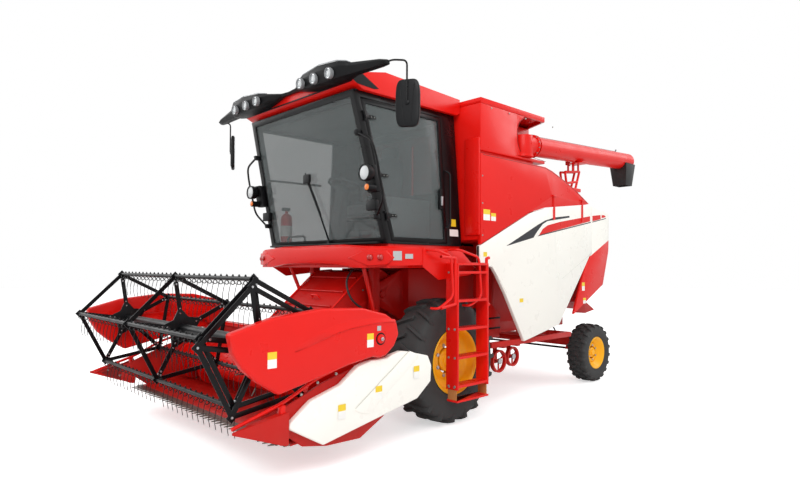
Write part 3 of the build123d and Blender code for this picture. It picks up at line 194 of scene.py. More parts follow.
@dataclass(frozen=True)
class Finish:
    """A surface finish, from its base colour to its wear.

    Attributes:
        name: What the real material is.
        colour: Base colour as sRGB hex.
        roughness: Mean roughness.
        roughness_spread: How far the roughness wanders over the surface.
        metallic: Share of metal.
        coat: Weight of a clear coat.
        grain_mm: Size of the fine grain in millimetres.
        grain_depth_mm: Height of the fine grain.
        tone_spread: How far the colour wanders, as a share of itself.
        dust: Strength of the pale dust that settles low down.
        specular: Specular level for non-metals.
        preview: Opacity in the viewport.
    """

    name: str
    colour: str
    roughness: float = 0.4
    roughness_spread: float = 0.08
    metallic: float = 0.0
    coat: float = 0.0
    grain_mm: float = 1.2
    grain_depth_mm: float = 0.02
    tone_spread: float = 0.05
    dust: float = 0.0
    specular: float = 0.5
    preview: float = 1.0

    def build(self) -> bpy.types.Material:
        """Make the material once and hand the same one back afterwards."""
        known = bpy.data.materials.get(self.name)
        if known:
            return known
        made = bpy.data.materials.new(self.name)
        made.use_nodes = True
        tree = made.node_tree
        tree.nodes.clear()
        place = add_node(tree, "ShaderNodeTexCoord").outputs["Object"]
        add_node(tree, "ShaderNodeOutputMaterial", links={"Surface": self.surface(tree, place)})
        made.diffuse_color = (*linear(self.colour)[:3], self.preview)
        return made

    def surface(self, tree: Tree, place: Socket) -> Socket:
        """Build the shader from its colour, sheen and relief.

        Args:
            tree: Material tree.
            place: Object coordinates.

        Returns:
            Shader socket.
        """
        patches = noise(tree, place, PATCH_MM, 4.0)
        rough = spread(
            tree,
            patches,
            max(0.02, self.roughness - self.roughness_spread),
            min(1.0, self.roughness + self.roughness_spread),
        )
        colour = self.tinted(tree, place)
        if self.dust:
            colour = self.dusted(tree, place, colour)
        shader = add_node(
            tree,
            "ShaderNodeBsdfPrincipled",
            values={
                "Metallic": self.metallic,
                "Coat Weight": self.coat,
                "Coat Roughness": 0.08,
                "Specular IOR Level": self.specular,
            },
            links={"Base Color": colour, "Roughness": rough, "Normal": self.relief(tree, place)},
        )
        return shader.outputs["BSDF"]

    def tinted(self, tree: Tree, place: Socket) -> Socket:
        """Build the colour with its slow drift from place to place.

        Args:
            tree: Material tree.
            place: Object coordinates.

        Returns:
            Colour socket.
        """
        drift = noise(tree, place, DRIFT_MM, 3.0, fade=0.55)
        light = spread(tree, drift, 1.0 - self.tone_spread, 1.0 + self.tone_spread)
        shaded = add_node(
            tree, "ShaderNodeHueSaturation", values={"Color": linear(self.colour)}, links={"Value": light}
        )
        return shaded.outputs["Color"]

    def relief(self, tree: Tree, place: Socket) -> Socket:
        """Build the fine relief of the surface.

        Args:
            tree: Material tree.
            place: Object coordinates.

        Returns:
            Normal socket.
        """
        grain = noise(tree, place, self.grain_mm, 2.0)
        values = {"Strength": 0.6, "Distance": self.grain_depth_mm / 1000.0}
        return add_node(tree, "ShaderNodeBump", values=values, links={"Height": grain}).outputs["Normal"]

    def dusted(self, tree: Tree, place: Socket, colour: Socket) -> Socket:
        """Lay pale dust over the parts near the ground.

        Args:
            tree: Material tree.
            place: Object coordinates.
            colour: Clean colour.

        Returns:
            Dusted colour.
        """
        height = add_node(tree, "ShaderNodeSeparateXYZ", links={"Vector": place}).outputs["Z"]
        low = add_node(
            tree,
            "ShaderNodeMapRange",
            values={"From Min": 0.0, "From Max": DUST_TOP, "To Min": self.dust, "To Max": 0.0},
            links={"Value": height},
        )
        cloud = noise(tree, place, DUST_MM, 5.0)
        share = add_node(
            tree, "ShaderNodeMath", {"operation": "MULTIPLY"}, links={0: low.outputs["Result"], 1: cloud}
        )
        mixed = add_node(
            tree,
            "ShaderNodeMix",
            {"data_type": "RGBA"},
            values={7: linear(DUST_COLOUR)},
            links={0: share.outputs["Value"], 6: colour},
        )
        return mixed.outputs[2]


@dataclass(frozen=True)
class Glazing(Finish):
    """Tinted cab glass, seen through as a thin sheet.

    Attributes:
        mirror: Share of light that it mirrors.
    """

    mirror: float = 0.010

    def surface(self, tree: Tree, place: Socket) -> Socket:
        """Build the see-through sheet with its faint, smeared gloss.

        Args:
            tree: Material tree.
            place: Object coordinates.

        Returns:
            Shader socket.
        """
        smear = noise(tree, place, SMEAR_MM, 3.0)
        rough = add_node(
            tree,
            "ShaderNodeMapRange",
            values={"To Min": 0.02, "To Max": self.roughness},
            links={"Value": smear},
        )
        through = add_node(tree, "ShaderNodeBsdfTransparent", values={"Color": linear(self.colour)})
        gloss = add_node(
            tree,
            "ShaderNodeBsdfAnisotropic",
            values={"Color": linear("#FFFFFF")},
            links={"Roughness": rough.outputs["Result"]},
        )
        shader = add_node(
            tree,
            "ShaderNodeMixShader",
            values={0: self.mirror},
            links={1: through.outputs["BSDF"], 2: gloss.outputs["BSDF"]},
        )
        return shader.outputs["Shader"]


@dataclass(frozen=True)
class TwoTone(Finish):
    """Enamel in two colours that meet along a straight slanting line of the side view.

    Attributes:
        below: Colour under the line.
        level: Height of a point on the line.
        station: Station of that point.
        slope: Fall of the line for each metre rearwards.
    """

    below: str = "#E3150D"
    level: float = 1.739
    station: float = 2.785
    slope: float = 0.448

    def tinted(self, tree: Tree, place: Socket) -> Socket:
        """Build the upper colour above the line and the lower one under it.

        Args:
            tree: Material tree.
            place: Object coordinates.

        Returns:
            Colour socket.
        """
        upper = super().tinted(tree, place)
        parts = add_node(tree, "ShaderNodeSeparateXYZ", links={"Vector": place})
        line = add_node(
            tree,
            "ShaderNodeMath",
            {"operation": "MULTIPLY_ADD"},
            values={1: -self.slope, 2: -self.level + self.slope * (FRONT_AXLE_Y + self.station)},
            links={0: parts.outputs["Y"]},
        )
        above = add_node(tree, "ShaderNodeMath", links={0: parts.outputs["Z"], 1: line.outputs["Value"]})
        side = add_node(
            tree,
            "ShaderNodeMath",
            {"operation": "GREATER_THAN"},
            values={1: 0.0},
            links={0: above.outputs["Value"]},
        )
        mixed = add_node(
            tree,
            "ShaderNodeMix",
            {"data_type": "RGBA"},
            values={6: linear(self.below)},
            links={0: side.outputs["Value"], 7: upper},
        )
        return mixed.outputs[2]


# Sprayed enamel: even, glossy colour with a faint orange-peel shimmer.
RED = Finish(
    "enamel_red",
    "#E3150D",
    roughness=0.34,
    coat=0.06,
    grain_mm=2.5,
    tone_spread=0.02,
    specular=0.28,
)
CREAM = Finish(
    "enamel_cream", "#FBFAF2", roughness=0.32, coat=0.1, grain_mm=2.5, grain_depth_mm=0.01, tone_spread=0.004
)
HOOD_PAINT = TwoTone(
    "enamel_hood_two_tone",
    "#FBFAF2",
    roughness=0.32,
    coat=0.08,
    grain_mm=2.5,
    tone_spread=0.004,
    specular=0.3,
)
# Darker, duller red enamel on the welded frames and the parts under the body: the red with painted shade, and
# dust where the wheels throw it.
SHADED_DUSTY_RED = Finish("enamel_red_frame", "#BE130D", roughness=0.4, grain_mm=2.5, dust=0.08, specular=0.25)
RIM_YELLOW = Finish(
    "enamel_rim_yellow", "#FDB60A", roughness=0.36, coat=0.1, grain_mm=2.5, dust=0.03, specular=0.3
)
# Satin black enamel on tubes and the cab shell: near black with soft highlights.
BLACK_ENAMEL = Finish("enamel_satin_black", "#0A0A0C", roughness=0.34, grain_mm=2.0, specular=0.22)
# Enamel painted in for the shade of a seam, a fold, a slot or a recess: darker than the panel round it.
SEAM_RED = Finish("enamel_red_seam", "#8E1511", roughness=0.5, tone_spread=0.02)
SEAM_GREY = Finish("seam_shade_grey", "#C4C3BB", roughness=0.6, tone_spread=0.02)
SLOT_SHADE = Finish("step_slot_shade", "#3A0806", roughness=0.8, tone_spread=0.02)
# Moulded plastics: a fine leathery grain that breaks the highlights up.
BLACK_PLASTIC = Finish(
    "moulded_black_plastic", "#0E0F11", roughness=0.46, grain_mm=0.9, grain_depth_mm=0.04, specular=0.22
)
GREY_TRIM = Finish("moulded_grey_trim", "#7E8082", roughness=0.6, grain_mm=0.8, grain_depth_mm=0.08)
DARK_TRIM = Finish("moulded_dark_trim", "#3A3C3F", roughness=0.6, grain_mm=0.8, grain_depth_mm=0.08)
# Moulded rubbers: matt, and dusty where they meet the ground.
RUBBER = Finish(
    "tyre_rubber", "#1A1A1B", roughness=0.72, grain_mm=3.0, grain_depth_mm=0.15, dust=0.1, specular=0.25
)
HOSE = Finish("hose_rubber", "#161617", roughness=0.55, grain_mm=1.0, grain_depth_mm=0.05)
STRAP = Finish("tan_rubber_strap", "#B0703A", roughness=0.7, grain_mm=2.0, grain_depth_mm=0.15)
# Embossed vinyl: a soft sheen with a pebbled grain.
SEAT_CLOTH = Finish("seat_vinyl", "#55585C", roughness=0.55, grain_mm=1.5, grain_depth_mm=0.1)
# Metals, from bright to worn: tinted reflections that blur with wear.
STEEL = Finish("bright_steel", "#B9BBBD", roughness=0.3, metallic=1.0, grain_mm=0.6, grain_depth_mm=0.01)
ZINC = Finish("zinc_plated_steel", "#A9ABA6", roughness=0.4, metallic=0.8, grain_mm=0.8)
WORN_STEEL = Finish("worn_steel", "#77726C", roughness=0.45, metallic=0.9, grain_mm=1.5, grain_depth_mm=0.05)
SPRING_STEEL = Finish("spring_wire_black", "#2A2A2B", roughness=0.42, metallic=0.6, grain_mm=0.6)
# The bright metal strip on the visor's front edge is a painted highlight along that edge.
VISOR_EDGE_HIGHLIGHT = Finish("bright_trim", "#C4C7CA", roughness=0.25, metallic=0.8)
CHROME = Finish(
    "lamp_reflector", "#E6E8EA", roughness=0.12, metallic=1.0, grain_mm=5.0, grain_depth_mm=0.02
)
# Silvered glass of the mirrors: a clear reflection.
MIRROR = Finish(
    "mirror_glass", "#C9CED1", roughness=0.05, metallic=1.0, grain_depth_mm=0.0, tone_spread=0.0
)
# Toughened glass with a grey tint: the cab shows through, with hardly any mirror image.
GLASS = Glazing("tinted_glass", "#DCDEDE", roughness=0.05, preview=0.4)
# Printed vinyl stickers and blank plates: flat, clean colour.
STRIPE_GREY = Finish("stripe_dark_grey", "#2F3034", roughness=0.35, specular=0.25, tone_spread=0.02)
STRIPE_RED = Finish("stripe_red", "#DB150D", roughness=0.35, specular=0.25, tone_spread=0.02)
DECAL_YELLOW = Finish("decal_yellow", "#F0CF2C", roughness=0.35, tone_spread=0.02)
DECAL_WHITE = Finish("decal_white", "#F4F4F0", roughness=0.35, tone_spread=0.02)
DATA_PLATE = Finish("blank_data_plate", "#B9BCBD", roughness=0.4, metallic=0.3, tone_spread=0.02)
# Lamp lenses of clear or dyed polycarbonate: glossy over the prisms moulded into them.
LENS_WHITE = Finish(
    "lamp_lens", "#C6CACB", roughness=0.15, coat=0.4, grain_mm=7.0, grain_depth_mm=0.6, tone_spread=0.02
)
LENS_RED = Finish("lamp_lens_red", "#B5120E", roughness=0.15, coat=0.6, grain_mm=6.0, grain_depth_mm=0.4)
LENS_AMBER = Finish("lamp_lens_amber", "#E8791B", roughness=0.15, coat=0.6, grain_mm=6.0, grain_depth_mm=0.4)


# Mesh helpers


class View(Enum):
    """The view in which a flat outline is drawn, and the way its thickness runs."""

    SIDE = "side"
    FRONT = "front"
    TOP = "top"

    def place(self, first: float, second: float, depth: float) -> Vector:
        """Turn an outline's pair and a depth into a point.

        Args:
            first: Station in the side view, otherwise the distance to the left.
            second: Height, or the station in the top view.
            depth: Distance to the left, station or height, as the view has it.

        Returns:
            The point in the frame.
        """
        if self is View.SIDE:
            return at(depth, first, second)
        if self is View.FRONT:
            return at(first, depth, second)
        return at(first, second, depth)


class Side(Enum):
    """Left or right half of the machine, as the sign of X."""

    LEFT = 1
    RIGHT = -1

    @property
    def label(self) -> str:
        """Its name as a part of a piece's name."""
        return self.name.lower()

    @property
    def out(self) -> Vector:
        """The way that this side faces."""
        return Vector((self.value, 0, 0))

    def span(self, near: float, far: float) -> Pair:
        """Turn two distances from the middle into places across, the lesser first."""
        first, last = sorted((self.value * near, self.value * far))
        return first, last


def link(name: str, data: bpy.types.ID) -> Piece:
    """Make an object from its data and put it in the scene.

    Args:
        name: Name of the object.
        data: Its mesh, curve, lamp or camera.

    Returns:
        The new object.
    """
    made = bpy.data.objects.new(name, data)
    bpy.context.scene.collection.objects.link(made)
    return made


def skin(rings: int, sides: int, closed: bool = False) -> Faces:
    """Number the faces of a skin over rings of corners.

    Args:
        rings: How many rings follow each other.
        sides: Corners in each ring.
        closed: Whether the last ring meets the first, or both ends get a face of their own.

    Returns:
        Corner numbers of each face.
    """
    faces: Faces = []
    for n in range(rings if closed else rings - 1):
        low, high = n * sides, (n + 1) % rings * sides
        faces += [(low + k, low + (k + 1) % sides, high + (k + 1) % sides, high + k) for k in range(sides)]
    if not closed:
        faces += [tuple(range(sides)), tuple(range((rings - 1) * sides, rings * sides))]
    return faces


def mesh_piece(name: str, verts: list[Vector], faces: Faces, finish: Finish) -> Piece:
    """Make one mesh object with one finish.

    Args:
        name: Piece name.
        verts: Corners in frame coordinates.
        faces: Corner numbers of each face.
        finish: Its finish.

    Returns:
        The new object, linked to the scene.
    """
    mesh = bpy.data.meshes.new(name)
    mesh.from_pydata([tuple(v) for v in verts], [], faces)
    mesh.update()
    made = link(name, mesh)
    mesh.materials.append(finish.build())
    outward(made)
    return made


def outward(piece: Piece, distance: float = 1e-5) -> None:
    """Merge doubles and turn all faces outwards.

    Args:
        piece: Piece to put right.
        distance: Corners nearer to each other than this become one.
    """
    work = bmesh.new()
    work.from_mesh(piece.data)
    bmesh.ops.remove_doubles(work, verts=work.verts, dist=distance)
    bmesh.ops.recalc_face_normals(work, faces=work.faces)
    work.to_mesh(piece.data)
    work.free()


def apply_modifiers(piece: Piece) -> Piece:
    """Turn a piece's live modifiers into plain mesh.

    Args:
        piece: Piece with modifiers.

    Returns:
        The same piece with the plain mesh.
    """
    bpy.context.view_layer.update()
    graph = bpy.context.evaluated_depsgraph_get()
    evaluated = piece.evaluated_get(graph)
    plain = bpy.data.meshes.new_from_object(evaluated, preserve_all_data_layers=True, depsgraph=graph)
    piece.modifiers.clear()
    old = piece.data
    piece.data = plain
    bpy.data.meshes.remove(old)
    return piece


def shade(piece: Piece, angle: float = 32.0) -> None:
    """Smooth a mesh but keep its sharp edges.

    Args:
        piece: Piece to smooth.
        angle: Edges with a sharper turn than this, in degrees, stay sharp.
    """
    work = bmesh.new()
    work.from_mesh(piece.data)
    limit = math.radians(angle)
    for face in work.faces:
        face.smooth = True
    for edge in work.edges:
        edge.smooth = len(edge.link_faces) == 2 and edge.calc_face_angle(0.0) < limit
    work.to_mesh(piece.data)
    work.free()


def soften(piece: Piece, width: float, segments: int = 2) -> Piece:
    """Round the edges of a piece by a bevel and leave plain mesh behind.

    Args:
        piece: Piece with sharp edges.
        width: Bevel width.
        segments: Steps across the bevel.

    Returns:
        The same piece.
    """
    bevel = piece.modifiers.new("rounded", "BEVEL")
    bevel.width = width
    bevel.segments = segments
    bevel.limit_method = "ANGLE"
    bevel.angle_limit = math.radians(28)
    bevel.use_clamp_overlap = True
    apply_modifiers(piece)
    shade(piece, 40)
    return piece


def drop(piece: Piece) -> None:
    """Delete a piece with its mesh."""
    mesh = piece.data
    bpy.data.objects.remove(piece)
    bpy.data.meshes.remove(mesh)


def merge(name: str, pieces: list[Piece]) -> Piece:
    """Join pieces into one object that keeps their finishes.

    Args:
        name: Name of the joined piece.
        pieces: Pieces that go into it and are then deleted.

    Returns:
        The joined piece.
    """
    work = bmesh.new()
    finishes: list[bpy.types.Material] = []
    for piece in pieces:
        start = len(work.faces)
        work.from_mesh(piece.data)
        work.faces.ensure_lookup_table()
        for face in work.faces[start:]:
            material = piece.data.materials[face.material_index]
            if material not in finishes:
                finishes.append(material)
            face.material_index = finishes.index(material)
    mesh = bpy.data.meshes.new(name)
    work.to_mesh(mesh)
    work.free()
    for material in finishes:
        mesh.materials.append(material)
    for piece in pieces:
        drop(piece)
    return link(name, mesh)


def settle(piece: Piece, body: str, *nodes: str) -> Piece:
    """Make a piece ride on a body and stand in for CAD nodes.

    Args:
        piece: Finished piece.
        body: Name of the CAD body.
        *nodes: CAD nodes that the piece replaces.

    Returns:
        The same piece.
    """
    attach(piece, body)
    if nodes:
        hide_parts(*nodes)
    LOG.info("%s: %d faces", piece.name, len(piece.data.polygons))
    return piece


def prism(
    name: str,
    outline: list[Pair],
    low: float,
    high: float,
    finish: Finish,
    width: float = 0.003,
    view: View = View.SIDE,
    segments: int = 2,
) -> Piece:
    """Make a flat outline into a plate with rounded edges.

    Args:
        name: Piece name.
        outline: Corners in the view's own pair of axes.
        low: Near depth.
        high: Far depth.
        finish: Its finish.
        width: Rounding of its edges, or nothing for sharp ones.
        view: View in which the outline is drawn.
        segments: Steps across the rounding.

    Returns:
        The plate.
    """
    verts = [view.place(a, b, depth) for depth in (low, high) for a, b in outline]
    made = mesh_piece(name, verts, skin(2, len(outline)), finish)
    if width:
        soften(made, width, segments)
    return made


def box(
    name: str,
    across: Pair,
    along: Pair,
    up: Pair,
    finish: Finish,
    width: float = 0.004,
) -> Piece:
    """Make a block with rounded edges.

    Args:
        name: Piece name.
        across: Its two places across, the lesser first.
        along: Its two stations.
        up: Its two heights.
        finish: Its finish.
        width: Rounding of its edges.

    Returns:
        The block.
    """
    (a, b), (c, d) = along, up
    return prism(name, [(a, c), (b, c), (b, d), (a, d)], *across, finish, width)


def between(table: tuple[Pair, ...], place: float) -> float:
    """Read a table between its rows.

    Args:
        table: Rising places, each with its value.
        place: Where to read it.

    Returns:
        The value there, and the last one beyond the end.
    """
    for (low, first), (high, second) in zip(table, table[1:]):
        if place <= high:
            return first + (second - first) * max(0.0, place - low) / (high - low)
    return table[-1][1]


def rounded(points: list[Vector], radius: float, steps: int = 5) -> list[Vector]:
    """Round the corners of an open run.

    Args:
        points: Corners of the run.
        radius: Distance from a corner at which its curve starts.
        steps: Points on each curve.

    Returns:
        Points of the rounded run.
    """
    made = [points[0]]
    for before, corner, after in zip(points, points[1:], points[2:]):
        back = min(radius, (before - corner).length * 0.45)
        ahead = min(radius, (after - corner).length * 0.45)
        start = corner + (before - corner).normalized() * back
        end = corner + (after - corner).normalized() * ahead
        for n in range(steps + 1):
            share = n / steps
            made.append(start.lerp(corner, share).lerp(corner.lerp(end, share), share))
    made.append(points[-1])
    return made


def sweep(
    name: str,
    path: list[Vector],
    radius: float | list[float],
    finish: Finish,
    sides: int = 12,
    closed: bool = False,
) -> Piece:
    """Make a tube along a path.

    Args:
        name: Piece name.
        path: Points along its middle.
        radius: Radius, or one for each point.
        finish: Its finish.
        sides: Facets round it.
        closed: Whether the path is a ring.

    Returns:
        The tube with closed ends.
    """
    radii = radius if isinstance(radius, list) else [radius] * len(path)
    count = len(path)
    verts: list[Vector] = []
    across = None
    for n, point in enumerate(path):
        before = path[(n - 1) % count] if closed or n else path[0]
        after = path[(n + 1) % count] if closed or n < count - 1 else path[-1]
        ahead = (after - before).normalized()
        if across is None:
            across = ahead.orthogonal().normalized()
        across = (across - ahead * across.dot(ahead)).normalized()
        upward = ahead.cross(across)
        for k in range(sides):
            turn = 2 * math.pi * k / sides
            verts.append(point + (across * math.cos(turn) + upward * math.sin(turn)) * radii[n])
    made = mesh_piece(name, verts, skin(count, sides, closed), finish)
    shade(made, 50)
    return made


def rail(
    name: str, corners: list[Point], radius: float, finish: Finish, bend: float = 0.05, sides: int = 12
) -> Piece:
    """Bend a tube through corners.

    Args:
        name: Piece name.
        corners: Its corners as X, station and height.
        radius: Its radius.
        finish: Its finish.
        bend: Distance from a corner at which its bend starts.
        sides: Facets round it.

    Returns:
        The tube.
    """
    return sweep(name, rounded([at(*corner) for corner in corners], bend), radius, finish, sides)


def lathe(
    name: str,
    rows: list[Pair],
    origin: Vector,
    axis: Vector,
    finish: Finish,
    steps: int = 40,
    ring: bool = False,
    angle: float = 32.0,
) -> Piece:
    """Turn a profile about an axis.

    Args:
        name: Piece name.
        rows: Places along the axis, each with its radius.
        origin: Where the axis starts.
        axis: Which way it points.
        finish: Finish of the piece.
        steps: Facets round it.
        ring: Whether the profile closes on itself rather than at its ends.
        angle: Edges sharper than this stay sharp.

    Returns:
        The turned piece.
    """
    ahead = axis.normalized()
    across = ahead.orthogonal().normalized()
    upward = ahead.cross(across)
    verts: list[Vector] = []
    for along, radius in rows:
        for k in range(steps):
            turn = 2 * math.pi * k / steps
            verts.append(
                origin + ahead * along + (across * math.cos(turn) + upward * math.sin(turn)) * radius,
            )
    made = mesh_piece(name, verts, skin(len(rows), steps, ring), finish)
    shade(made, angle)
    return made


def cushion(name: str, middle: Vector, half: Point, lean: float, finish: Finish) -> Piece:
    """Make a crowned, full-looking pad.

    Args:
        name: Piece name.
        middle: Its middle.
        half: Half its width, depth and height.
        lean: How far it leans back, in radians.
        finish: Its finish.

    Returns:
        The pad, round on all sides like a filled cover.
    """
    steps, levels = 40, 20

    def full(value: float, power: float) -> float:
        """Square up a sine or cosine: the lower the power, the fuller the pad."""
        return math.copysign(abs(value) ** power, value)

    turned = Matrix.Rotation(-lean, 4, "X")
    verts: list[Vector] = []
    for n in range(1, levels):
        rise = math.pi * (n / levels - 0.5)
        reach = full(math.cos(rise), 0.36)
        for k in range(steps):
            turn = 2 * math.pi * k / steps
            across = half[0] * reach * full(math.cos(turn), 0.42)
            along = half[1] * reach * full(math.sin(turn), 0.42)
            verts.append(middle + turned @ Vector((across, along, half[2] * full(math.sin(rise), 0.62))))
    made = mesh_piece(name, verts, skin(levels - 1, steps), finish)
    shade(made, 60)
    return made


def dressed(
    node: str, finish: Finish, width: float = 0.004, segments: int = 2, angle: float = 40.0
) -> Piece:
    """Stand a softened copy in for a CAD node.

    Args:
        node: Name of the CAD node.
        finish: Its finish.
        width: Rounding of its edges.
        segments: Steps across the rounding.
        angle: Edges sharper than this stay sharp where nothing is rounded.

    Returns:
        The copy, riding on the node's body and replacing it.
    """
    source = frame["nodes"][node]
    mesh = source.data.copy()
    piece = link(f"{node}_dressed", mesh)
    work = bmesh.new()
    work.from_mesh(mesh)
    bmesh.ops.remove_doubles(work, verts=work.verts, dist=2e-5)
    bmesh.ops.dissolve_limit(
        work, angle_limit=math.radians(1.0), verts=work.verts, edges=work.edges, delimit={"NORMAL"}
    )
    work.to_mesh(mesh)
    work.free()
    mesh.materials.clear()
    mesh.materials.append(finish.build())
    for face in mesh.polygons:
        face.material_index = 0
    if width:
        soften(piece, width, segments)
    else:
        shade(piece, angle)
    return settle(piece, source["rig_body"], node)


def dress_in_place(node: str, finish: Finish) -> None:
    """Give a CAD node that keeps its own mesh a finish."""
    data = frame["nodes"][node].data
    data.materials.clear()
    data.materials.append(finish.build())


# Repeats by Geometry Nodes


def repeat_tree() -> Tree:
    """Build the tree that sets one part on every marked place, once."""
    known = bpy.data.node_groups.get("set_on_places")
    if known:
        return known
    tree = bpy.data.node_groups.new("set_on_places", "GeometryNodeTree")
    for name, kind in (
        ("Places", "NodeSocketGeometry"),
        ("Part", "NodeSocketObject"),
        ("Part Scale", "NodeSocketFloat"),
        ("Finish", "NodeSocketMaterial"),
    ):
        tree.interface.new_socket(name, in_out="INPUT", socket_type=kind)
    tree.interface.new_socket("Geometry", in_out="OUTPUT", socket_type="NodeSocketGeometry")
    given = add_node(tree, "NodeGroupInput")
    part = add_node(tree, "GeometryNodeObjectInfo", links={"Object": given.outputs["Part"]})
    turn = add_node(
        tree, "GeometryNodeInputNamedAttribute", {"data_type": "FLOAT_VECTOR"}, values={"Name": "turn"}
    )
    spin = add_node(tree, "FunctionNodeEulerToRotation", links={"Euler": turn.outputs["Attribute"]})
    placed = add_node(
        tree,
        "GeometryNodeInstanceOnPoints",
        links={
            "Points": given.outputs["Places"],
            "Instance": part.outputs["Geometry"],
            "Rotation": spin.outputs["Rotation"],
            "Scale": given.outputs["Part Scale"],
        },
    )
    real = add_node(tree, "GeometryNodeRealizeInstances", links={"Geometry": placed.outputs["Instances"]})
    coated = add_node(
        tree,
        "GeometryNodeSetMaterial",
        links={"Geometry": real.outputs["Geometry"], "Material": given.outputs["Finish"]},
    )
    add_node(tree, "NodeGroupOutput", links={"Geometry": coated.outputs["Geometry"]})
    return tree


def repeat(
    name: str, part: Piece, places: list[tuple[Vector, Euler]], finish: Finish, scale: float = 1.0
) -> Piece:
    """Set a part on many places and make the result plain mesh.

    Args:
        name: Name of the result.
        part: Small part about the origin, deleted afterwards.
        places: Points with the turn of the part at each.
        finish: Finish of all the copies.
        scale: Size of the copies against the part.

    Returns:
        One mesh with all the copies.
    """
    mesh = bpy.data.meshes.new(name)
    mesh.from_pydata([tuple(point) for point, _ in places], [], [])
    turns = mesh.attributes.new("turn", "FLOAT_VECTOR", "POINT")
    for n, (_, turn) in enumerate(places):
        turns.data[n].vector = turn[:]
    made = link(name, mesh)
    tree = repeat_tree()
    modifier = made.modifiers.new("repeats", "NODES")
    modifier.node_group = tree
    given = {"Part": part, "Part Scale": scale, "Finish": finish.build()}
    for item in tree.interface.items_tree:
        if item.item_type == "SOCKET" and item.in_out == "INPUT" and item.name in given:
            modifier[item.identifier] = given[item.name]
    apply_modifiers(made)
    shade(made, 35)
    drop(part)
    return made


def facing(direction: Vector) -> Euler:
    """The turn that points a part's own Z along a direction."""
    return direction.to_track_quat("Z", "Y").to_euler()


def bolt_head() -> Piece:
    """Make one hexagon bolt head on its washer, 20 mm across its corners and looking up."""
    rows = [(-0.001, 0.0125), (0.0015, 0.0125), (0.0015, 0.01), (0.0065, 0.01), (0.008, 0.0085)]
    return lathe("bolt_head", rows, Vector(), UP, STEEL, steps=6)


def bolts(
    name: str, spots: list[tuple[Vector, Vector]], body: str, finish: Finish, scale: float = 1.0
) -> Piece:
    """Set bolt heads on a body.

    Args:
        name: Name of the set.
        spots: Points on a surface, each with the way that the surface faces.
        body: Body that carries them.
        finish: Their finish.
        scale: Size against a head 20 mm across.

    Returns:
        All the heads as one mesh.
    """
    places = [(point, facing(normal)) for point, normal in spots]
    return settle(repeat(name, bolt_head(), places, finish, scale), body)


def stickers(
    name: str, rows: list[tuple[float, float, float, float]], x: float, body: str, split: float = 0.45
) -> Piece:
    """Put blank yellow-over-white stickers on a side face.

    Args:
        name: Name of the set.
        rows: Station and height of each sticker's middle, its width and its height.
        x: Where the face lies, with its sign.
        body: Body that carries them.
        split: Share of the height that is yellow.

    Returns:
        All the stickers as one mesh.
    """
    made = []
    lift = math.copysign(0.0006, x)
    for station, height, wide, tall in rows:
        left, right = station - wide / 2, station + wide / 2
        low, high = height - tall / 2, height + tall / 2
        edge = high - split * tall
        for finish, bottom, top in ((DECAL_YELLOW, edge, high), (DECAL_WHITE, low, edge)):
            corners = [(left, bottom), (right, bottom), (right, top), (left, top)]
            made.append(prism(f"{name}_sheet", corners, x, x + lift, finish, width=0.0))
    return settle(merge(name, made), body)


# Wheels


@dataclass(frozen=True)
class Wheel:
    """Sizes of one pair of wheels and the form of their lugs.

    Attributes:
        place: Which end of the machine they carry.
        station: Distance behind the front axle.
        radius: Radius over the lugs.
        half: Half the tyre's width.
        rim: Radius of the rim's lip.
        bead: Half width between the lips.
        centre_x: Middle of the wheel.
        disc: Place of the disc along the axle, outwards from the middle.
        hub: Radius of the hub.
        lug_height: Height of the lugs.
        lug_thick: Thickness of a lug.
        lug_sweep: How far a lug's outer end lags.
        lugs: Lugs in each row.
        bars: Where each lug of a row starts and ends across the tread, and its lag in rows.
        studs: Wheel bolts.
        stud_reach: How far outside the hub they stand.
        stud_scale: Their size against a bolt head 20 mm across.
    """

    place: str
    station: float
    radius: float
    half: float
    rim: float
    bead: float
    centre_x: float
    disc: float
    hub: float
    lug_height: float
    lug_thick: float
    lug_sweep: float
    lugs: int
    bars: tuple[Point, ...]
    studs: int
    stud_reach: float
    stud_scale: float

    @property
    def top(self) -> float:
        """Radius at the middle of a lug's crown."""
        reach = (self.lug_sweep + self.lug_thick) / 2
        return math.sqrt(self.radius**2 - reach**2)

    @property
    def tread(self) -> float:
        """Radius of the carcass between the lugs."""
        return self.top - self.lug_height


FRONT_WHEEL = Wheel(
    place="front",
    station=0.0,
    radius=0.640,
    half=0.220,
    rim=0.340,
    bead=0.190,
    centre_x=1.110,
    disc=0.060,
    hub=0.120,
    lug_height=0.036,
    lug_thick=0.042,
    lug_sweep=0.104,
    lugs=19,
    bars=((-0.05, 0.98, 0.0),),
    studs=8,
    stud_reach=0.045,
    stud_scale=1.7,
)
REAR_WHEEL = Wheel(
    place="rear",
    station=3.127,
    radius=0.403,
    half=0.135,
    rim=0.222,
    bead=0.112,
    centre_x=1.095,
    disc=0.030,
    hub=0.070,
    lug_height=0.026,
    lug_thick=0.044,
    lug_sweep=0.040,
    lugs=20,
    bars=((-0.04, 0.46, 0.0), (0.52, 0.98, 0.35)),
    studs=6,
    stud_reach=0.030,
    stud_scale=1.25,
)


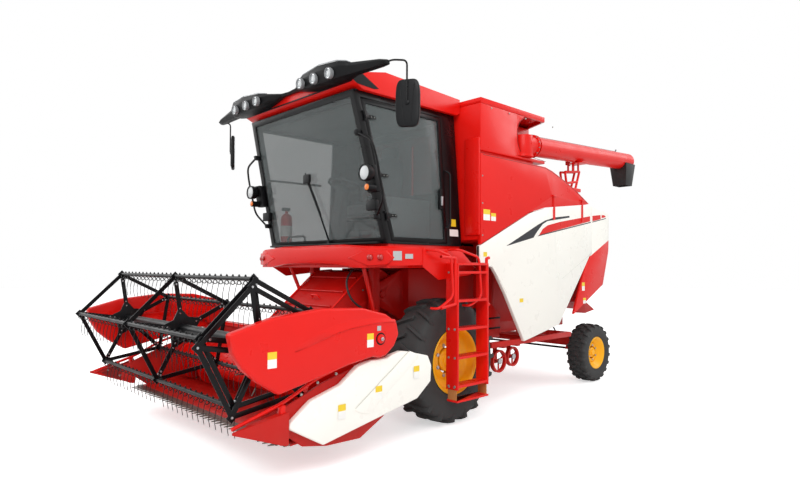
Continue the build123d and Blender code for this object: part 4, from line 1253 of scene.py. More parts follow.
@dataclass
class WheelPair:
    """Tyres with their lugs, and dished rims with their bolts."""

    wheel: Wheel

    def build(self) -> None:
        """Build both sides."""
        for side in Side:
            self.tyre(side)
            self.rim(side)

    def middle(self, side: Side) -> Vector:
        """Centre of one wheel."""
        return at(side.value * self.wheel.centre_x, self.wheel.station, self.wheel.radius)

    def carcass_rows(self) -> list[Pair]:
        """Profile of the carcass, from the outer bead over the tread to the inner bead."""
        wheel = self.wheel
        tread, rim = wheel.tread, wheel.rim
        wall = tread - rim
        rows = (
            (wheel.bead / wheel.half, rim - 0.017),
            (wheel.bead / wheel.half, rim + 0.002),
            (0.905, rim + 0.05 * wall),
            (0.93, rim + 0.11 * wall),
            (0.925, rim + 0.125 * wall),
            (0.965, rim + 0.24 * wall),
            (0.99, rim + 0.38 * wall),
            (1.0, rim + 0.50 * wall),
            (0.99, rim + 0.64 * wall),
            (0.972, rim + 0.74 * wall),
            (0.955, rim + 0.83 * wall),
            (0.91, rim + 0.92 * wall),
            (0.82, rim + 0.985 * wall),
            (0.6, tread + 0.002),
            (0.3, tread + 0.004),
        )
        half = [(share * wheel.half, radius) for share, radius in rows]
        return half + [(-along, radius) for along, radius in reversed(half)]

    def lug(self, start: float, end: float) -> Piece:
        """Make one lug at the top of a wheel about the origin.

        Args:
            start: Where it starts across the tread, as a share of the half width.
            end: Where it ends.

        Returns:
            The lug.
        """
        wheel = self.wheel
        reach = (wheel.lug_sweep + wheel.lug_thick) / 2
        wall = wheel.tread - wheel.rim
        crown = ((0.0, 0.0), (0.6, 0.001), (0.8, 0.006), (0.92, 0.013), (1.0, 0.024))
        foot = ((0.0, 0.008), (0.7, 0.010), (0.86, 0.04), (0.95, 0.09), (1.0, 0.16))

        shares = [start + (end - start) * n / 5 for n in range(6)]
        verts: list[Vector] = []
        for share in shares:
            progress = (share + 0.05) / 1.03
            lag = -reach + wheel.lug_thick / 2 + wheel.lug_sweep * progress
            top = wheel.top - between(crown, share)
            base = wheel.tread - between(foot, share) * wall / 0.26
            spread = 1.0 + 0.12 * share
            for offset, radius in ((-0.62, base), (-0.42, top), (0.42, top), (0.62, base)):
                turn = (lag + offset * wheel.lug_thick * spread) / wheel.radius
                verts.append(Vector((share * wheel.half, -radius * math.sin(turn), radius * math.cos(turn))))
        return soften(mesh_piece("lug", verts, skin(len(shares), 4), RUBBER), 0.003, 1)

    def tyre(self, side: Side) -> None:
        """Make one tyre from its carcass and its rows of lugs.

        Args:
            side: Side that it stands on.
        """
        wheel = self.wheel
        middle = self.middle(side)
        label = f"{wheel.place}_tyre_{side.label}"
        pieces = [
            lathe("carcass", self.carcass_rows(), middle, LEFTWARD, RUBBER, steps=72, ring=True, angle=50)
        ]
        for row in (1, -1):
            for start, end, lag in wheel.bars:
                lug = self.lug(start, end)
                if row < 0:
                    lug.data.transform(Matrix.Scale(-1, 4, LEFTWARD))
                    lug.data.flip_normals()
                step = 2 * math.pi / wheel.lugs
                first = lag * step + (0.0 if row > 0 else 0.5 * step)
                places = [(middle, Euler((first + n * step, 0, 0))) for n in range(wheel.lugs)]
                pieces.append(repeat("lugs", lug, places, RUBBER))
        settle(merge(f"{label}_tread", pieces), body_of(label), label)

    def rim(self, side: Side) -> None:
        """Make one rim with its lips, dish, hub and bolts.

        Args:
            side: Side that it stands on.
        """
        wheel = self.wheel
        outer = wheel.bead + 0.012
        rim, disc = wheel.rim, wheel.disc
        rows = [
            (-outer, rim - 0.004),
            (-outer + 0.004, rim),
            (-wheel.bead - 0.002, rim),
            (-wheel.bead - 0.001, rim - 0.0205),
            (wheel.bead + 0.001, rim - 0.0205),
            (wheel.bead + 0.002, rim),
            (outer - 0.004, rim),
            (outer, rim - 0.004),
            (outer - 0.001, rim - 0.010),
            (wheel.bead - 0.006, rim - 0.030),
            (disc + 0.055, rim - 0.045),
            (disc + 0.035, rim - 0.062),
            (disc + 0.018, rim - 0.085),
            (disc + 0.010, 0.62 * rim),
            (disc + 0.024, 0.56 * rim),
            (disc + 0.024, wheel.hub + 0.03),
            (disc + 0.014, wheel.hub + 0.02),
            (disc, wheel.hub + 0.02),
            (disc - 0.004, 0.6 * rim),
            (disc + 0.004, rim - 0.095),
            (disc + 0.012, rim - 0.052),
            (-wheel.bead + 0.004, rim - 0.034),
            (-outer + 0.001, rim - 0.010),
        ]
        middle = self.middle(side)
        out = side.out
        node = f"{wheel.place}_rim_{side.label}"
        body = body_of(node)
        hub_end = disc + 0.044
        hub_rows = [
            (-wheel.bead / 3, wheel.hub),
            (disc + 0.020, wheel.hub),
            (disc + 0.026, wheel.hub - 0.006),
            (disc + 0.028, 0.62 * wheel.hub),
            (hub_end - 0.006, 0.58 * wheel.hub),
            (hub_end, 0.5 * wheel.hub),
        ]
        steel = [
            lathe("rim_shell", rows, middle, out, RIM_YELLOW, steps=64, ring=True, angle=40),
            lathe("hub", hub_rows, middle, out, RIM_YELLOW, steps=32),
        ]
        settle(merge(f"{node}_dish", steel), body, node)
        spots = []
        for n in range(wheel.studs):
            turn = 2 * math.pi * (n + 0.5) / wheel.studs
            around = Vector((0, math.cos(turn), math.sin(turn))) * (wheel.hub + wheel.stud_reach)
            spots.append((middle + out * (disc + 0.024) + around, out))
        bolts(f"{node}_studs", spots, body, STEEL, wheel.stud_scale)


# Reel


@dataclass
class Reel:
    """Spiders, tubes, spring tines, arms and their moulded covers."""

    station: float = -2.300
    height: float = 1.028
    radius: float = 0.4876
    first_angle: float = 98.7
    bars: int = 5
    bar_half: float = 1.462
    bar_radius: float = 0.0176
    tube_half: float = 1.398
    tube_radius: float = 0.0455
    shaft_half: float = 1.5255
    shaft_radius: float = 0.0253
    tines: int = 29
    tine_pitch: float = 0.0985
    tine_drop: float = 0.225
    wire: float = 0.0028
    offset: Pair = (-0.040, -0.055)
    spider_x: tuple[float, ...] = (-1.400, 0.0, 1.400)
    spider_bolts: tuple[Pair, ...] = (
        (0.045, 0.014), (0.045, -0.014), (0.075, 0.0), (0.30, 0.0), (0.345, 0.0),
    )
    hub: Pair = (-1.314, 1.004)
    cover_x: float = 1.620

    def build(self) -> None:
        """Build the whole reel."""
        dressed("reel_rotor", BLACK_ENAMEL, 0.002)
        dressed("reel_control", BLACK_ENAMEL, 0.002)
        dressed("reel_arms", RED, 0.006)
        self.tubes()
        for number in range(1, self.bars + 1):
            self.tine_bar(number)
        self.covers()

    def bar(self, name: str, across: Pair, spot: Pair, radius: float, finish: Finish, sides: int) -> Piece:
        """Make a round bar straight across.

        Args:
            name: Piece name.
            across: Its two ends.
            spot: Its station and height.
            radius: Its radius.
            finish: Its finish.
            sides: Facets round it.

        Returns:
            The bar.
        """
        return rail(name, [(x, *spot) for x in across], radius, finish, sides=sides)

    def spot(self, number: int) -> Pair:
        """Station and height of one tine bar."""
        turn = math.radians(self.first_angle + 360 * (number - 1) / self.bars)
        return self.station + self.radius * math.cos(turn), self.height + self.radius * math.sin(turn)

    def tubes(self) -> None:
        """Make the round centre tube, its shaft and the bolted corner plates."""
        axle = (self.station, self.height)
        pieces = [
            self.bar("tube", (-self.tube_half, self.tube_half), axle, self.tube_radius, BLACK_ENAMEL, 24),
            self.bar("shaft", (-self.shaft_half, self.shaft_half), axle, self.shaft_radius, STEEL, 20),
        ]
        for x in self.spider_x:
            plate = []
            for n in range(10):
                turn = math.radians(self.first_angle + 36 * n)
                reach = 0.205 if n % 2 == 0 else 0.120
                plate.append((self.station + reach * math.cos(turn), self.height + reach * math.sin(turn)))
            pieces.append(prism("hub_plate", plate, x - 0.0075, x + 0.0075, BLACK_ENAMEL, 0.0015))
        settle(merge("reel_centre_tube", pieces), "reel")
        spots = []
        for x in self.spider_x:
            for number in range(1, self.bars + 1):
                station, height = self.spot(number)
                inward = Vector((0, self.station - station, self.height - height)).normalized()
                across = Vector((0, inward.z, -inward.y))
                for along, aside in self.spider_bolts:
                    place = at(x, station, height) + inward * along + across * aside
                    for face in Side:
                        spots.append(
                            (place + Vector((0.0042 * face.value, 0, 0)), Vector((face.value, 0, 0))),
                        )
        bolts("spider_bolts", spots, "reel", STEEL, 0.8)

    def tine(self) -> Piece:
        """Make one spring tine: its bolt, a coil under the bar and the bent wire."""
        coil = 0.016
        path = []
        turns, steps = 2, 8
        low = -self.bar_radius - 2 * coil
        for n in range(turns * steps + 1):
            turn = 2 * math.pi * n / steps + math.pi / 2
            x = self.wire * 2.2 * (n / steps - turns / 2)
            path.append(Vector((x, coil * math.cos(turn), low + coil + coil * math.sin(turn))))
        end = path[-1]
        path.insert(0, Vector((path[0].x, 0.004, -self.bar_radius + 0.004)))
        for share, swing in ((0.12, 0.013), (0.3, 0.006), (0.5, -0.002), (0.75, -0.004), (1.0, 0.006)):
            drop = -self.bar_radius - share * (self.tine_drop - self.bar_radius)
            path.append(Vector((end.x, coil + swing, min(drop, low))))
        wire = sweep("wire", path, self.wire, SPRING_STEEL, sides=4)
        rows = ((-0.003, 0.009), (0.007, 0.009), (0.007, 0.005), (0.014, 0.005))
        rows = [(self.bar_radius + lift, radius) for lift, radius in rows]
        return merge("tine", [wire, lathe("nut", rows, Vector(), UP, SPRING_STEEL, steps=6)])

    def tine_bar(self, number: int) -> None:
        """Make one bar with its crank, its pin and its row of tines.

        Args:
            number: Number of the bar, from one.
        """
        spot = station, height = self.spot(number)
        node = f"tine_bar_{number}"
        body = body_of(node)
        pin_station, pin_height = station + self.offset[0], height + self.offset[1]
        crank = [
            (station - 0.020, height + 0.010),
            (station, height + 0.021),
            (station + 0.020, height + 0.010),
            (pin_station + 0.014, pin_height - 0.006),
            (pin_station, pin_height - 0.0135),
            (pin_station - 0.014, pin_height - 0.006),
        ]
        pieces = [
            self.bar("bar", (-self.bar_half, 1.436), spot, self.bar_radius - 0.0006, BLACK_ENAMEL, 20),
            prism("crank", crank, 1.4285, 1.4355, BLACK_ENAMEL, 0.002),
            self.bar("pin", (1.434, 1.4605), (pin_station, pin_height), 0.009, STEEL, 16),
        ]
        first = -(self.tines - 1) / 2 * self.tine_pitch
        places = []
        for n in range(self.tines):
            x = first + n * self.tine_pitch
            if min(abs(x - spider) for spider in self.spider_x) > 0.012:
                places.append((at(x, station, height), Euler((0, 0, 0))))
        pieces.append(repeat("tines", self.tine(), places, SPRING_STEEL))
        settle(merge(f"{node}_tines", pieces), body, node)

    def covers(self) -> None:
        """Make the moulded arm covers with their swoosh, hub, bolt and blank stickers."""
        dressed("reel_covers", RED, 0.022, 5)
        body = body_of("reel_covers")
        # The swoosh: a station, and the heights of its upper and lower edge there.
        swoosh = (
            (-2.155, 1.021, 0.975),
            (-2.030, 1.080, 1.008),
            (-1.902, 1.122, 1.050),
            (-1.770, 1.155, 1.087),
            (-1.628, 1.175, 1.113),
            (-1.400, 1.182, 1.136),
            (-1.250, 1.172, 1.140),
            (-1.152, 1.156, 1.136),
        )
        for side in Side:
            face = side.value * self.cover_x
            lift = side.value * 0.011
            verts: list[Vector] = []
            for station, top, low in swoosh:
                share = min(1.0, (station - swoosh[0][0]) / 0.25)
                verts.append(at(face, station, top))
                verts.append(at(face + lift * share, station, low + 0.004))
                verts.append(at(face, station, low - 0.006 * share - 0.001))
                verts.append(at(face - lift * 0.4, station, (top + low) / 2))
            ridge = mesh_piece("ridge", verts, skin(len(swoosh), 4), RED)
            shade(ridge, 50)
            out = side.out
            hub = at(face, *self.hub)
            # The black ring round the hub cap is painted shade in the well round it.
            rows = [(-0.004, 0.052), (0.0012, 0.052), (0.0012, 0.040), (-0.004, 0.040)]
            well = lathe("hub_well", rows, hub, out, BLACK_PLASTIC, 40, ring=True)
            rows = [(-0.004, 0.040), (0.010, 0.038), (0.014, 0.030), (0.015, 0.016), (0.015, 0.004)]
            cap = lathe("hub_cap", rows, hub, out, RED, 40)
            rows = [(0.014, 0.017), (0.026, 0.017), (0.028, 0.014), (0.028, 0.006), (0.040, 0.006)]
            nut = lathe("hub_bolt", rows, hub, out, STEEL, 6)
            across = side.span(self.cover_x, self.cover_x + 0.0008)
            plate = box("hub_plate", across, (-1.353, -1.311), (1.073, 1.113), DATA_PLATE, 0.0)
            settle(merge(f"cover_details_{side.label}", [ridge, well, cap, nut, plate]), body)
            rows = [(-2.345, 0.938, 0.075, 0.115), (-1.427, 1.001, 0.070, 0.112)]
            stickers(f"cover_stickers_{side.label}", rows, face, body)


# Header


@dataclass
class Header:
    """Table, end shields, knife, feed auger, feeder house and lift cylinders."""

    half: float = 1.500
    auger_station: float = -1.550
    auger_height: float = 0.550
    drum: float = 0.150
    flight: float = 0.250
    flight_turns: float = 2.25
    flight_end: float = 0.41
    fingers: int = 6
    finger: float = 0.238
    finger_pitch: float = 0.1
    ribs: int = 12
    rib_half: float = 1.43
    feeder_gap: float = 0.5
    shield_x: float = 1.5803
    lift_x: float = 0.300

    def build(self) -> None:
        """Build the header and its feeder house."""
        dressed("header_table", SHADED_DUSTY_RED, 0.003)
        dressed("header_shields", CREAM, 0.012, 4)
        dressed("knife_bar", WORN_STEEL, 0.0)
        dressed("feeder_house", SHADED_DUSTY_RED, 0.006)
        self.auger()
        self.shields()
        self.cylinders()
        self.table_details()
        self.feeder_details()

    def flight_mesh(self, side: Side) -> Piece:
        """Make one helical flight that carries the crop inwards.

        Args:
            side: Half of the drum that it winds round.

        Returns:
            The flight.
        """
        per_turn = 28
        count = int(per_turn * self.flight_turns)
        start = self.half - 0.016
        root, edge = self.drum - 0.006, self.flight - 0.002
        verts: list[Vector] = []
        for n in range(count + 1):
            turn = side.value * 2 * math.pi * n / per_turn
            x = side.value * (start + (self.flight_end - start) * n / count)
            for reach, away in ((root, -0.003), (root, 0.003), (edge, 0.0022), (edge, -0.0022)):
                station = self.auger_station + reach * math.cos(turn)
                verts.append(at(x + away, station, self.auger_height + reach * math.sin(turn)))
        made = mesh_piece("flight", verts, skin(count + 1, 4), RED)
        shade(made, 40)
        return made

    def auger(self) -> None:
        """Make the drum with its flights and its retracting fingers."""
        middle = at(0, self.auger_station, self.auger_height)
        half = self.half - 0.010
        rows = [(-half, 0.034), (-half, self.drum), (half, self.drum), (half, 0.034)]
        pieces = [lathe("drum", rows, middle, LEFTWARD, RED, 48)]
        pieces += [self.flight_mesh(side) for side in Side]
        for side in Side:
            reaches = (self.half - 0.012, self.half - 0.0004)
            ends = [(side.value * reach, self.auger_station, self.auger_height) for reach in reaches]
            pieces.append(rail("stub", ends, 0.033, STEEL, sides=20))
        for n in range(self.fingers):
            turn = 2 * math.pi * n / self.fingers
            x = self.finger_pitch * (n - (self.fingers - 1) / 2)
            root = (x, self.auger_station, self.auger_height)
            tip = (x, root[1] + self.finger * math.cos(turn), root[2] + self.finger * math.sin(turn))
            pieces.append(rail("finger", [root, tip], 0.008, WORN_STEEL, sides=10))
        settle(merge("feed_auger_flights", pieces), "header_auger", "header_auger")

    def shields(self) -> None:
        """Put the raised fold, its groove and blank stickers on the end shields."""
        fold = [
            (-1.558, 0.452), (-1.520, 0.423), (-1.417, 0.394), (-1.360, 0.420), (-1.294, 0.477),
            (-0.827, 0.800), (-0.860, 0.835), (-0.935, 0.862),
        ]
        groove = ((-1.552, 0.458), (-0.946, 0.866))
        rows = [(-1.689, 0.459, 0.075, 0.115), (-1.301, 0.552, 0.075, 0.113), (-0.853, 0.667, 0.070, 0.112)]
        for side in Side:
            across = side.span(self.shield_x - 0.002, self.shield_x + 0.005)
            raised = prism("fold", fold, *across, CREAM, 0.0048, segments=3)
            face = side.value * (self.shield_x + 0.0045)
            line = rail("groove", [(face, *spot) for spot in groove], 0.0022, SEAM_GREY, sides=8)
            settle(merge(f"shield_fold_{side.label}", [raised, line]), "header")
            face = side.value * (self.shield_x + 0.0052)
            stickers(f"shield_stickers_{side.label}", rows, face, "header")

    def cylinders(self) -> None:
        """Make the round lift cylinders and their rods."""
        barrels, rods = [], []
        for side in Side:
            foot = at(side.value * self.lift_x, -0.100, 0.420)
            rows = [
                (0.025, 0.030), (0.030, 0.0375), (0.548, 0.0375), (0.559, 0.034), (0.559, 0.0262),
                (0.10, 0.0262),
            ]
            barrels.append(lathe("barrel", rows, foot, AHEAD, BLACK_ENAMEL, 32))
            eye = [(-0.030, 0.0375), (0.030, 0.0375), (0.030, 0.0205), (-0.030, 0.0205)]
            barrels.append(lathe("foot_eye", eye, foot, LEFTWARD, BLACK_ENAMEL, 32, ring=True))
            gland = [(0.50, 0.0378), (0.505, 0.0379), (0.555, 0.0379), (0.555, 0.030)]
            barrels.append(lathe("gland", gland, foot, AHEAD, STEEL, 32))
            rods.append(lathe("rod", [(0.222, 0.0248), (0.840, 0.0248)], foot, AHEAD, STEEL, 32))
            tip = at(side.value * self.lift_x, -0.980, 0.420)
            eye = [(-0.022, 0.0455), (0.022, 0.0455), (0.022, 0.0335), (-0.022, 0.0335)]
            rods.append(lathe("rod_eye", eye, tip, LEFTWARD, BLACK_ENAMEL, 32, ring=True))
        settle(merge("lift_barrels_round", barrels), body_of("lift_barrels"), "lift_barrels")
        settle(merge("lift_rods_round", rods), body_of("lift_rods"), "lift_rods")

    def table_details(self) -> None:
        """Add the divider frames, the beam's ribs, bolts and the knife drive."""
        pieces = []
        sheet = self.half + 0.021
        for side in Side:
            near = side.value * sheet
            top = [(near, *spot) for spot in ((-2.60, 0.476), (-2.18, 0.60), (-1.90, 0.735), (-1.55, 0.83))]
            pieces.append(rail("divider_rail", top, 0.014, RED, 0.08))
            low = ((0.06, -2.58, 0.458), (0.06, -2.23, 0.315), (0.04, -2.17, 0.30))
            low = [(side.value * (self.half + out), station, z) for out, station, z in low]
            pieces.append(rail("divider_foot", low, 0.012, RED, 0.05))
            post = [(-2.235, 0.300), (-2.195, 0.300), (-2.195, 0.590), (-2.235, 0.575)]
            pieces.append(prism("divider_post", post, *side.span(sheet, sheet + 0.045), RED, 0.004))
            # The divider's recessed panel is a darker sheet of painted shade.
            panel = [(-2.53, 0.448), (-2.245, 0.553), (-2.245, 0.325), (-2.33, 0.355)]
            pieces.append(prism("divider_panel", panel, *side.span(sheet, sheet + 0.0015), SEAM_RED, 0.0))
        rib = [(-1.268, 0.36), (-1.268, 0.845), (-1.250, 0.835), (-1.250, 0.37)]
        for n in range(self.ribs):
            x = self.rib_half * (2 * n / (self.ribs - 1) - 1)
            if abs(x) > self.feeder_gap:
                pieces.append(prism("back_rib", rib, x - 0.004, x + 0.004, SHADED_DUSTY_RED, 0.0))
        pieces.append(box("beam_lip", (-1.49, 1.49), (-1.296, -1.2705), (0.905, 0.945), RED, 0.003))
        settle(merge("header_frame_details", pieces), "header")
        spots = []
        for side in Side:
            rows = ((-2.46, 0.470), (-2.20, 0.558), (-2.03, 0.635), (-1.88, 0.705), (-1.70, 0.750))
            for station, height in (*rows, (-2.34, 0.40), (-2.31, 0.40)):
                spots.append((at(side.value * sheet, station, height), side.out))
        for n in range(18):
            spots.append((at(-1.42 + 2.84 * n / 17, -1.2255, 0.9405), UP))
        bolts("header_bolts", spots, "header", ZINC, 1.0)
        lever = [(1.36, -2.10, 0.32), (1.40, -2.17, 0.31), (1.44, -2.19, 0.272)]
        drive = [
            box("knife_drive", (1.30, 1.42), (-2.13, -2.03), (0.275, 0.33), BLACK_ENAMEL, 0.01),
            rail("knife_lever", lever, 0.012, BLACK_ENAMEL),
        ]
        settle(merge("knife_drive_box", drive), "header")

    def feeder_details(self) -> None:
        """Add the feeder house's pressed ribs, edge rails, grip and bolts."""
        pieces = []
        low, high = (-1.16, 0.990), (-0.50, 1.552)
        slope = Vector((0, high[0] - low[0], high[1] - low[1])).normalized()
        up = Vector((0, -slope.z, slope.y))
        for share in (0.10, 0.36, 0.62, 0.88):
            middle = at(0, *low).lerp(at(0, *high), share) - up * 0.004
            half = LEFTWARD * 0.40
            pieces.append(sweep("rib", [middle - half, middle + half], 0.012, SHADED_DUSTY_RED, 8))
        for side in Side:
            x = side.value * 0.452
            pieces.append(
                rail("edge", [(x, -1.16, 0.985), (x, -0.50, 1.545), (x, -0.26, 1.56)], 0.010, RED, 0.1, 8),
            )
        grip = at(0.05, *low).lerp(at(0.05, *high), 0.48)
        half = LEFTWARD * 0.06
        loop = [grip - half, grip - half + up * 0.05, grip + half + up * 0.05, grip + half]
        pieces.append(sweep("grip", rounded(loop, 0.03), 0.008, RED, 10))
        settle(merge("feeder_details", pieces), "header")
        spots = []
        for side in Side:
            for share in (0.1, 0.3, 0.5, 0.7, 0.9):
                place = at(side.value * 0.4502, -1.2, 0.90).lerp(at(side.value * 0.4502, -0.45, 1.40), share)
                spots.append((place, side.out))
        bolts("feeder_bolts", spots, "header", ZINC, 1.1)


# Body


@dataclass
class Body:
    """Tank, side panels, guards with their stripes, hood, engine bay and side drives."""

    side_x: float = 1.290
    rows: tuple[tuple[str, Finish, float], ...] = (
        ("main_frame", SHADED_DUSTY_RED, 0.004),
        ("front_axle", SHADED_DUSTY_RED, 0.006),
        ("rear_axle_beam", SHADED_DUSTY_RED, 0.006),
        ("thresher_body", SHADED_DUSTY_RED, 0.006),
        ("side_drives", SHADED_DUSTY_RED, 0.003),
        ("conveyor_leg", SHADED_DUSTY_RED, 0.008),
        ("straw_hood", HOOD_PAINT, 0.010),
        ("straw_chute", SHADED_DUSTY_RED, 0.004),
        ("grain_tank", RED, 0.012),
        ("engine_block", DARK_TRIM, 0.01),
        ("cooling_screen", BLACK_ENAMEL, 0.008),
        ("air_cleaner", BLACK_PLASTIC, 0.006),
        ("upper_panels", RED, 0.008),
        ("tank_lid", RED, 0.006),
        ("guard_left", CREAM, 0.006),
        ("guard_right", CREAM, 0.006),
        ("knuckle_left", SHADED_DUSTY_RED, 0.004),
        ("knuckle_right", SHADED_DUSTY_RED, 0.004),
        ("tie_rod", BLACK_ENAMEL, 0.002),
    )
    grey_swoosh: tuple[Pair, ...] = (
        (0.890, 1.841), (1.442, 1.958), (1.528, 2.038), (1.648, 2.133), (1.758, 2.177),
        (2.279, 2.251), (2.279, 2.275), (1.925, 2.233), (1.704, 2.181), (1.542, 2.120),
        (1.257, 1.998),
    )
    red_band: tuple[Pair, ...] = (
        (1.568, 1.996), (1.647, 2.074), (1.758, 2.124), (2.041, 2.182), (2.821, 2.304),
        (2.820, 2.233), (2.218, 2.119),
    )
    underline: tuple[Pair, ...] = ((1.528, 1.976), (1.568, 1.997), (2.837, 2.227), (2.837, 2.213))
    hood_bands: tuple[tuple[Pair, ...], ...] = (
        ((2.884, 2.313), (3.113, 2.339), (3.124, 2.281), (2.884, 2.237)),
        ((3.148, 2.341), (3.236, 2.341), (3.275, 2.320), (3.147, 2.295)),
    )
    hood_line: tuple[Pair, ...] = ((2.884, 2.220), (3.274, 2.294), (3.274, 2.304), (2.884, 2.232))

    def build(self) -> None:
        """Build the body."""
        for node, finish, width in self.rows:
            piece = dressed(node, finish, width)
            if node == "straw_hood":
                self.paint_rear(piece)
            if node.startswith("guard_"):
                self.paint_hinges(piece)
        for side in Side:
            self.stripes(side)
            self.panel_details(side)
        self.tank_details()
        self.drives()
        self.rear_details()

    def paint_rear(self, hood: Piece) -> None:
        """Give the hood's rear wall its red."""
        hood.data.materials.append(RED.build())
        for face in hood.data.polygons:
            if face.normal.y > 0.5:
                face.material_index = 1

    def paint_hinges(self, guard: Piece) -> None:
        """Give a guard's hinge arms the red of the panel that they lie on."""
        guard.data.materials.append(RED.build())
        for face in guard.data.polygons:
            if abs(face.center.x) > self.side_x + 0.0005 and face.center.z > 2.30:
                face.material_index = 1

    def sheet_on(
        self, name: str, outline: tuple[Pair, ...], side: Side, finish: Finish, lift: float = 0.0007
    ) -> Piece:
        """Cut a thin sticker to an outline and lay it on the side plane.

        Args:
            name: Piece name.
            outline: Its corners as station and height.
            side: Side of the machine.
            finish: Its finish.
            lift: Its thickness.

        Returns:
            The sticker.
        """
        across = side.span(self.side_x, self.side_x + lift)
        return prism(name, list(outline), *across, finish, width=0.0)

    def stripes(self, side: Side) -> None:
        """Lay the sweeping stripes on a guard and on the hood behind it.

        Args:
            side: Side of the machine.
        """
        label = side.label
        guard = [
            self.sheet_on("swoosh", self.grey_swoosh, side, STRIPE_GREY),
            self.sheet_on("band", self.red_band, side, STRIPE_RED),
            self.sheet_on("underline", self.underline, side, STRIPE_GREY),
        ]
        x = side.value * (self.side_x + 0.0004)
        for line in (((2.860, 1.800), (2.094, 1.458)), ((0.62, 1.62), (0.90, 1.315))):
            guard.append(rail("fold", [(x, *line[0]), (x, *line[1])], 0.0014, SEAM_GREY, sides=6))
        settle(merge(f"guard_stripes_{label}", guard), body_of(f"guard_{label}"))
        hood = [self.sheet_on("band", outline, side, STRIPE_RED) for outline in self.hood_bands]
        hood.append(self.sheet_on("underline", self.hood_line, side, STRIPE_GREY))
        settle(merge(f"hood_stripes_{label}", hood), "chassis")
        body = body_of(f"guard_{label}")
        face = side.value * self.side_x
        stickers(
            f"guard_stickers_{label}",
            [(0.508, 1.711, 0.065, 0.113), (1.191, 1.186, 0.077, 0.101)],
            face,
            body,
        )
        rows = [(0.536, 2.176, 0.118, 0.120), (0.657, 2.159, 0.085, 0.086)]
        rows += [(2.630, 1.345, 0.072, 0.111), (2.660, 1.155, 0.072, 0.075)]
        stickers(f"body_stickers_{label}", rows, face, "chassis")

    def panel_details(self, side: Side) -> None:
        """Add the seal in front of a guard, the seams and the bolts.

        Args:
            side: Side of the machine.
        """
        across = side.span(1.262, 1.284)
        pieces = [box("front_seal", across, (0.398, 0.4095), (1.64, 1.83), BLACK_PLASTIC, 0.003)]
        x = side.value * (self.side_x + 0.0005)
        seam = (
            (1.266, 3.386), (1.155, 3.313), (1.121, 3.229), (1.116, 3.125), (1.130, 3.037),
            (1.174, 2.966), (1.287, 2.929), (1.495, 2.924), (1.714, 2.912),
        )
        edge = ((0.47, 2.835), (1.70, 2.835), (1.863, 2.803), (2.173, 2.709), (2.417, 2.623), (2.74, 2.480))
        for line in (seam, edge):
            pieces.append(rail("seam", [(x, *spot) for spot in line], 0.003, SEAM_RED, sides=6))
        settle(merge(f"panel_details_{side.label}", pieces), "chassis")
        spots = [(at(side.value * self.side_x, 0.46, z), side.out) for z in (1.95, 2.30, 2.60)]
        bolts(f"panel_bolts_{side.label}", spots, "chassis", ZINC, 0.8)

    def tank_details(self) -> None:
        """Round the front columns of the tank and put bolts along its rim."""
        pieces = []
        upper = [
            (1.09, 3.394), (1.266, 3.394), (1.205, 3.348), (1.155, 3.313), (1.135, 3.270),
            (1.121, 3.229), (1.09, 3.20),
        ]
        lower = [
            (1.09, 3.075), (1.116, 3.075), (1.130, 3.037), (1.174, 2.966), (1.230, 2.940),
            (1.300, 2.918), (1.09, 2.918),
        ]
        for side in Side:
            for outline in (upper, lower):
                pieces.append(prism("cut_corner", outline, *side.span(1.270, 1.2895), RED, 0.002))
            across = side.span(1.085, 1.2885)
            pieces.append(box("column", across, (0.400, 0.4297), (1.95, 3.02), RED, 0.014))
        settle(merge("tank_columns", pieces), "chassis")
        spots = []
        for side in Side:
            for station in (0.62, 0.95, 1.28, 1.61, 1.88):
                spots.append((at(side.value * 1.2902, station, 3.372), side.out))
        bolts("tank_rim_bolts", spots, "chassis", ZINC, 0.9)

    def drives(self) -> None:
        """Turn smooth rims for the belt pulleys and put straps round the conveyor leg."""
        pieces = []
        for station, height, radius in ((0.945, 0.516, 0.130), (1.214, 0.544, 0.115)):
            for side in Side:
                out = side.out
                middle = at(0, station, height)
                # Across the rim: a place along the axle and its radius, with a belt groove in the middle.
                rows = [
                    (1.118, radius - 0.022),
                    (1.118, radius + 0.001),
                    (1.131, radius + 0.001),
                    (1.137, radius - 0.008),
                    (1.143, radius - 0.008),
                    (1.149, radius + 0.001),
                    (1.162, radius + 0.001),
                    (1.162, radius - 0.022),
                ]
                pieces.append(lathe("pulley", rows, middle, out, SHADED_DUSTY_RED, 40, ring=True))
                pieces.append(
                    lathe("cap", [(1.150, 0.034), (1.168, 0.034), (1.170, 0.02)], middle, out, STEEL, 20),
                )
        for height in (0.86, 0.98):
            for side in Side:
                across, up = side.span(0.697, 0.963), (height, height + 0.022)
                pieces.append(box("strap", across, (0.897, 1.223), up, BLACK_ENAMEL, 0.002))
        settle(merge("drive_details", pieces), "chassis")

    def rear_details(self) -> None:
        """Put the rear lamps on the hood."""
        pieces = []
        rows = [(0.0, 0.030), (0.006, 0.028), (0.010, 0.018), (0.011, 0.004)]
        for side in Side:
            across = side.span(0.98, 1.14)
            pieces.append(box("lamp_base", across, (3.350, 3.3795), (1.89, 1.97), BLACK_PLASTIC, 0.006))
            for x, finish in ((1.02, LENS_RED), (1.10, LENS_AMBER)):
                pieces.append(lathe("rear_lens", rows, at(side.value * x, 3.379, 1.93), -AHEAD, finish, 24))
        settle(merge("rear_lamps", pieces), "chassis")


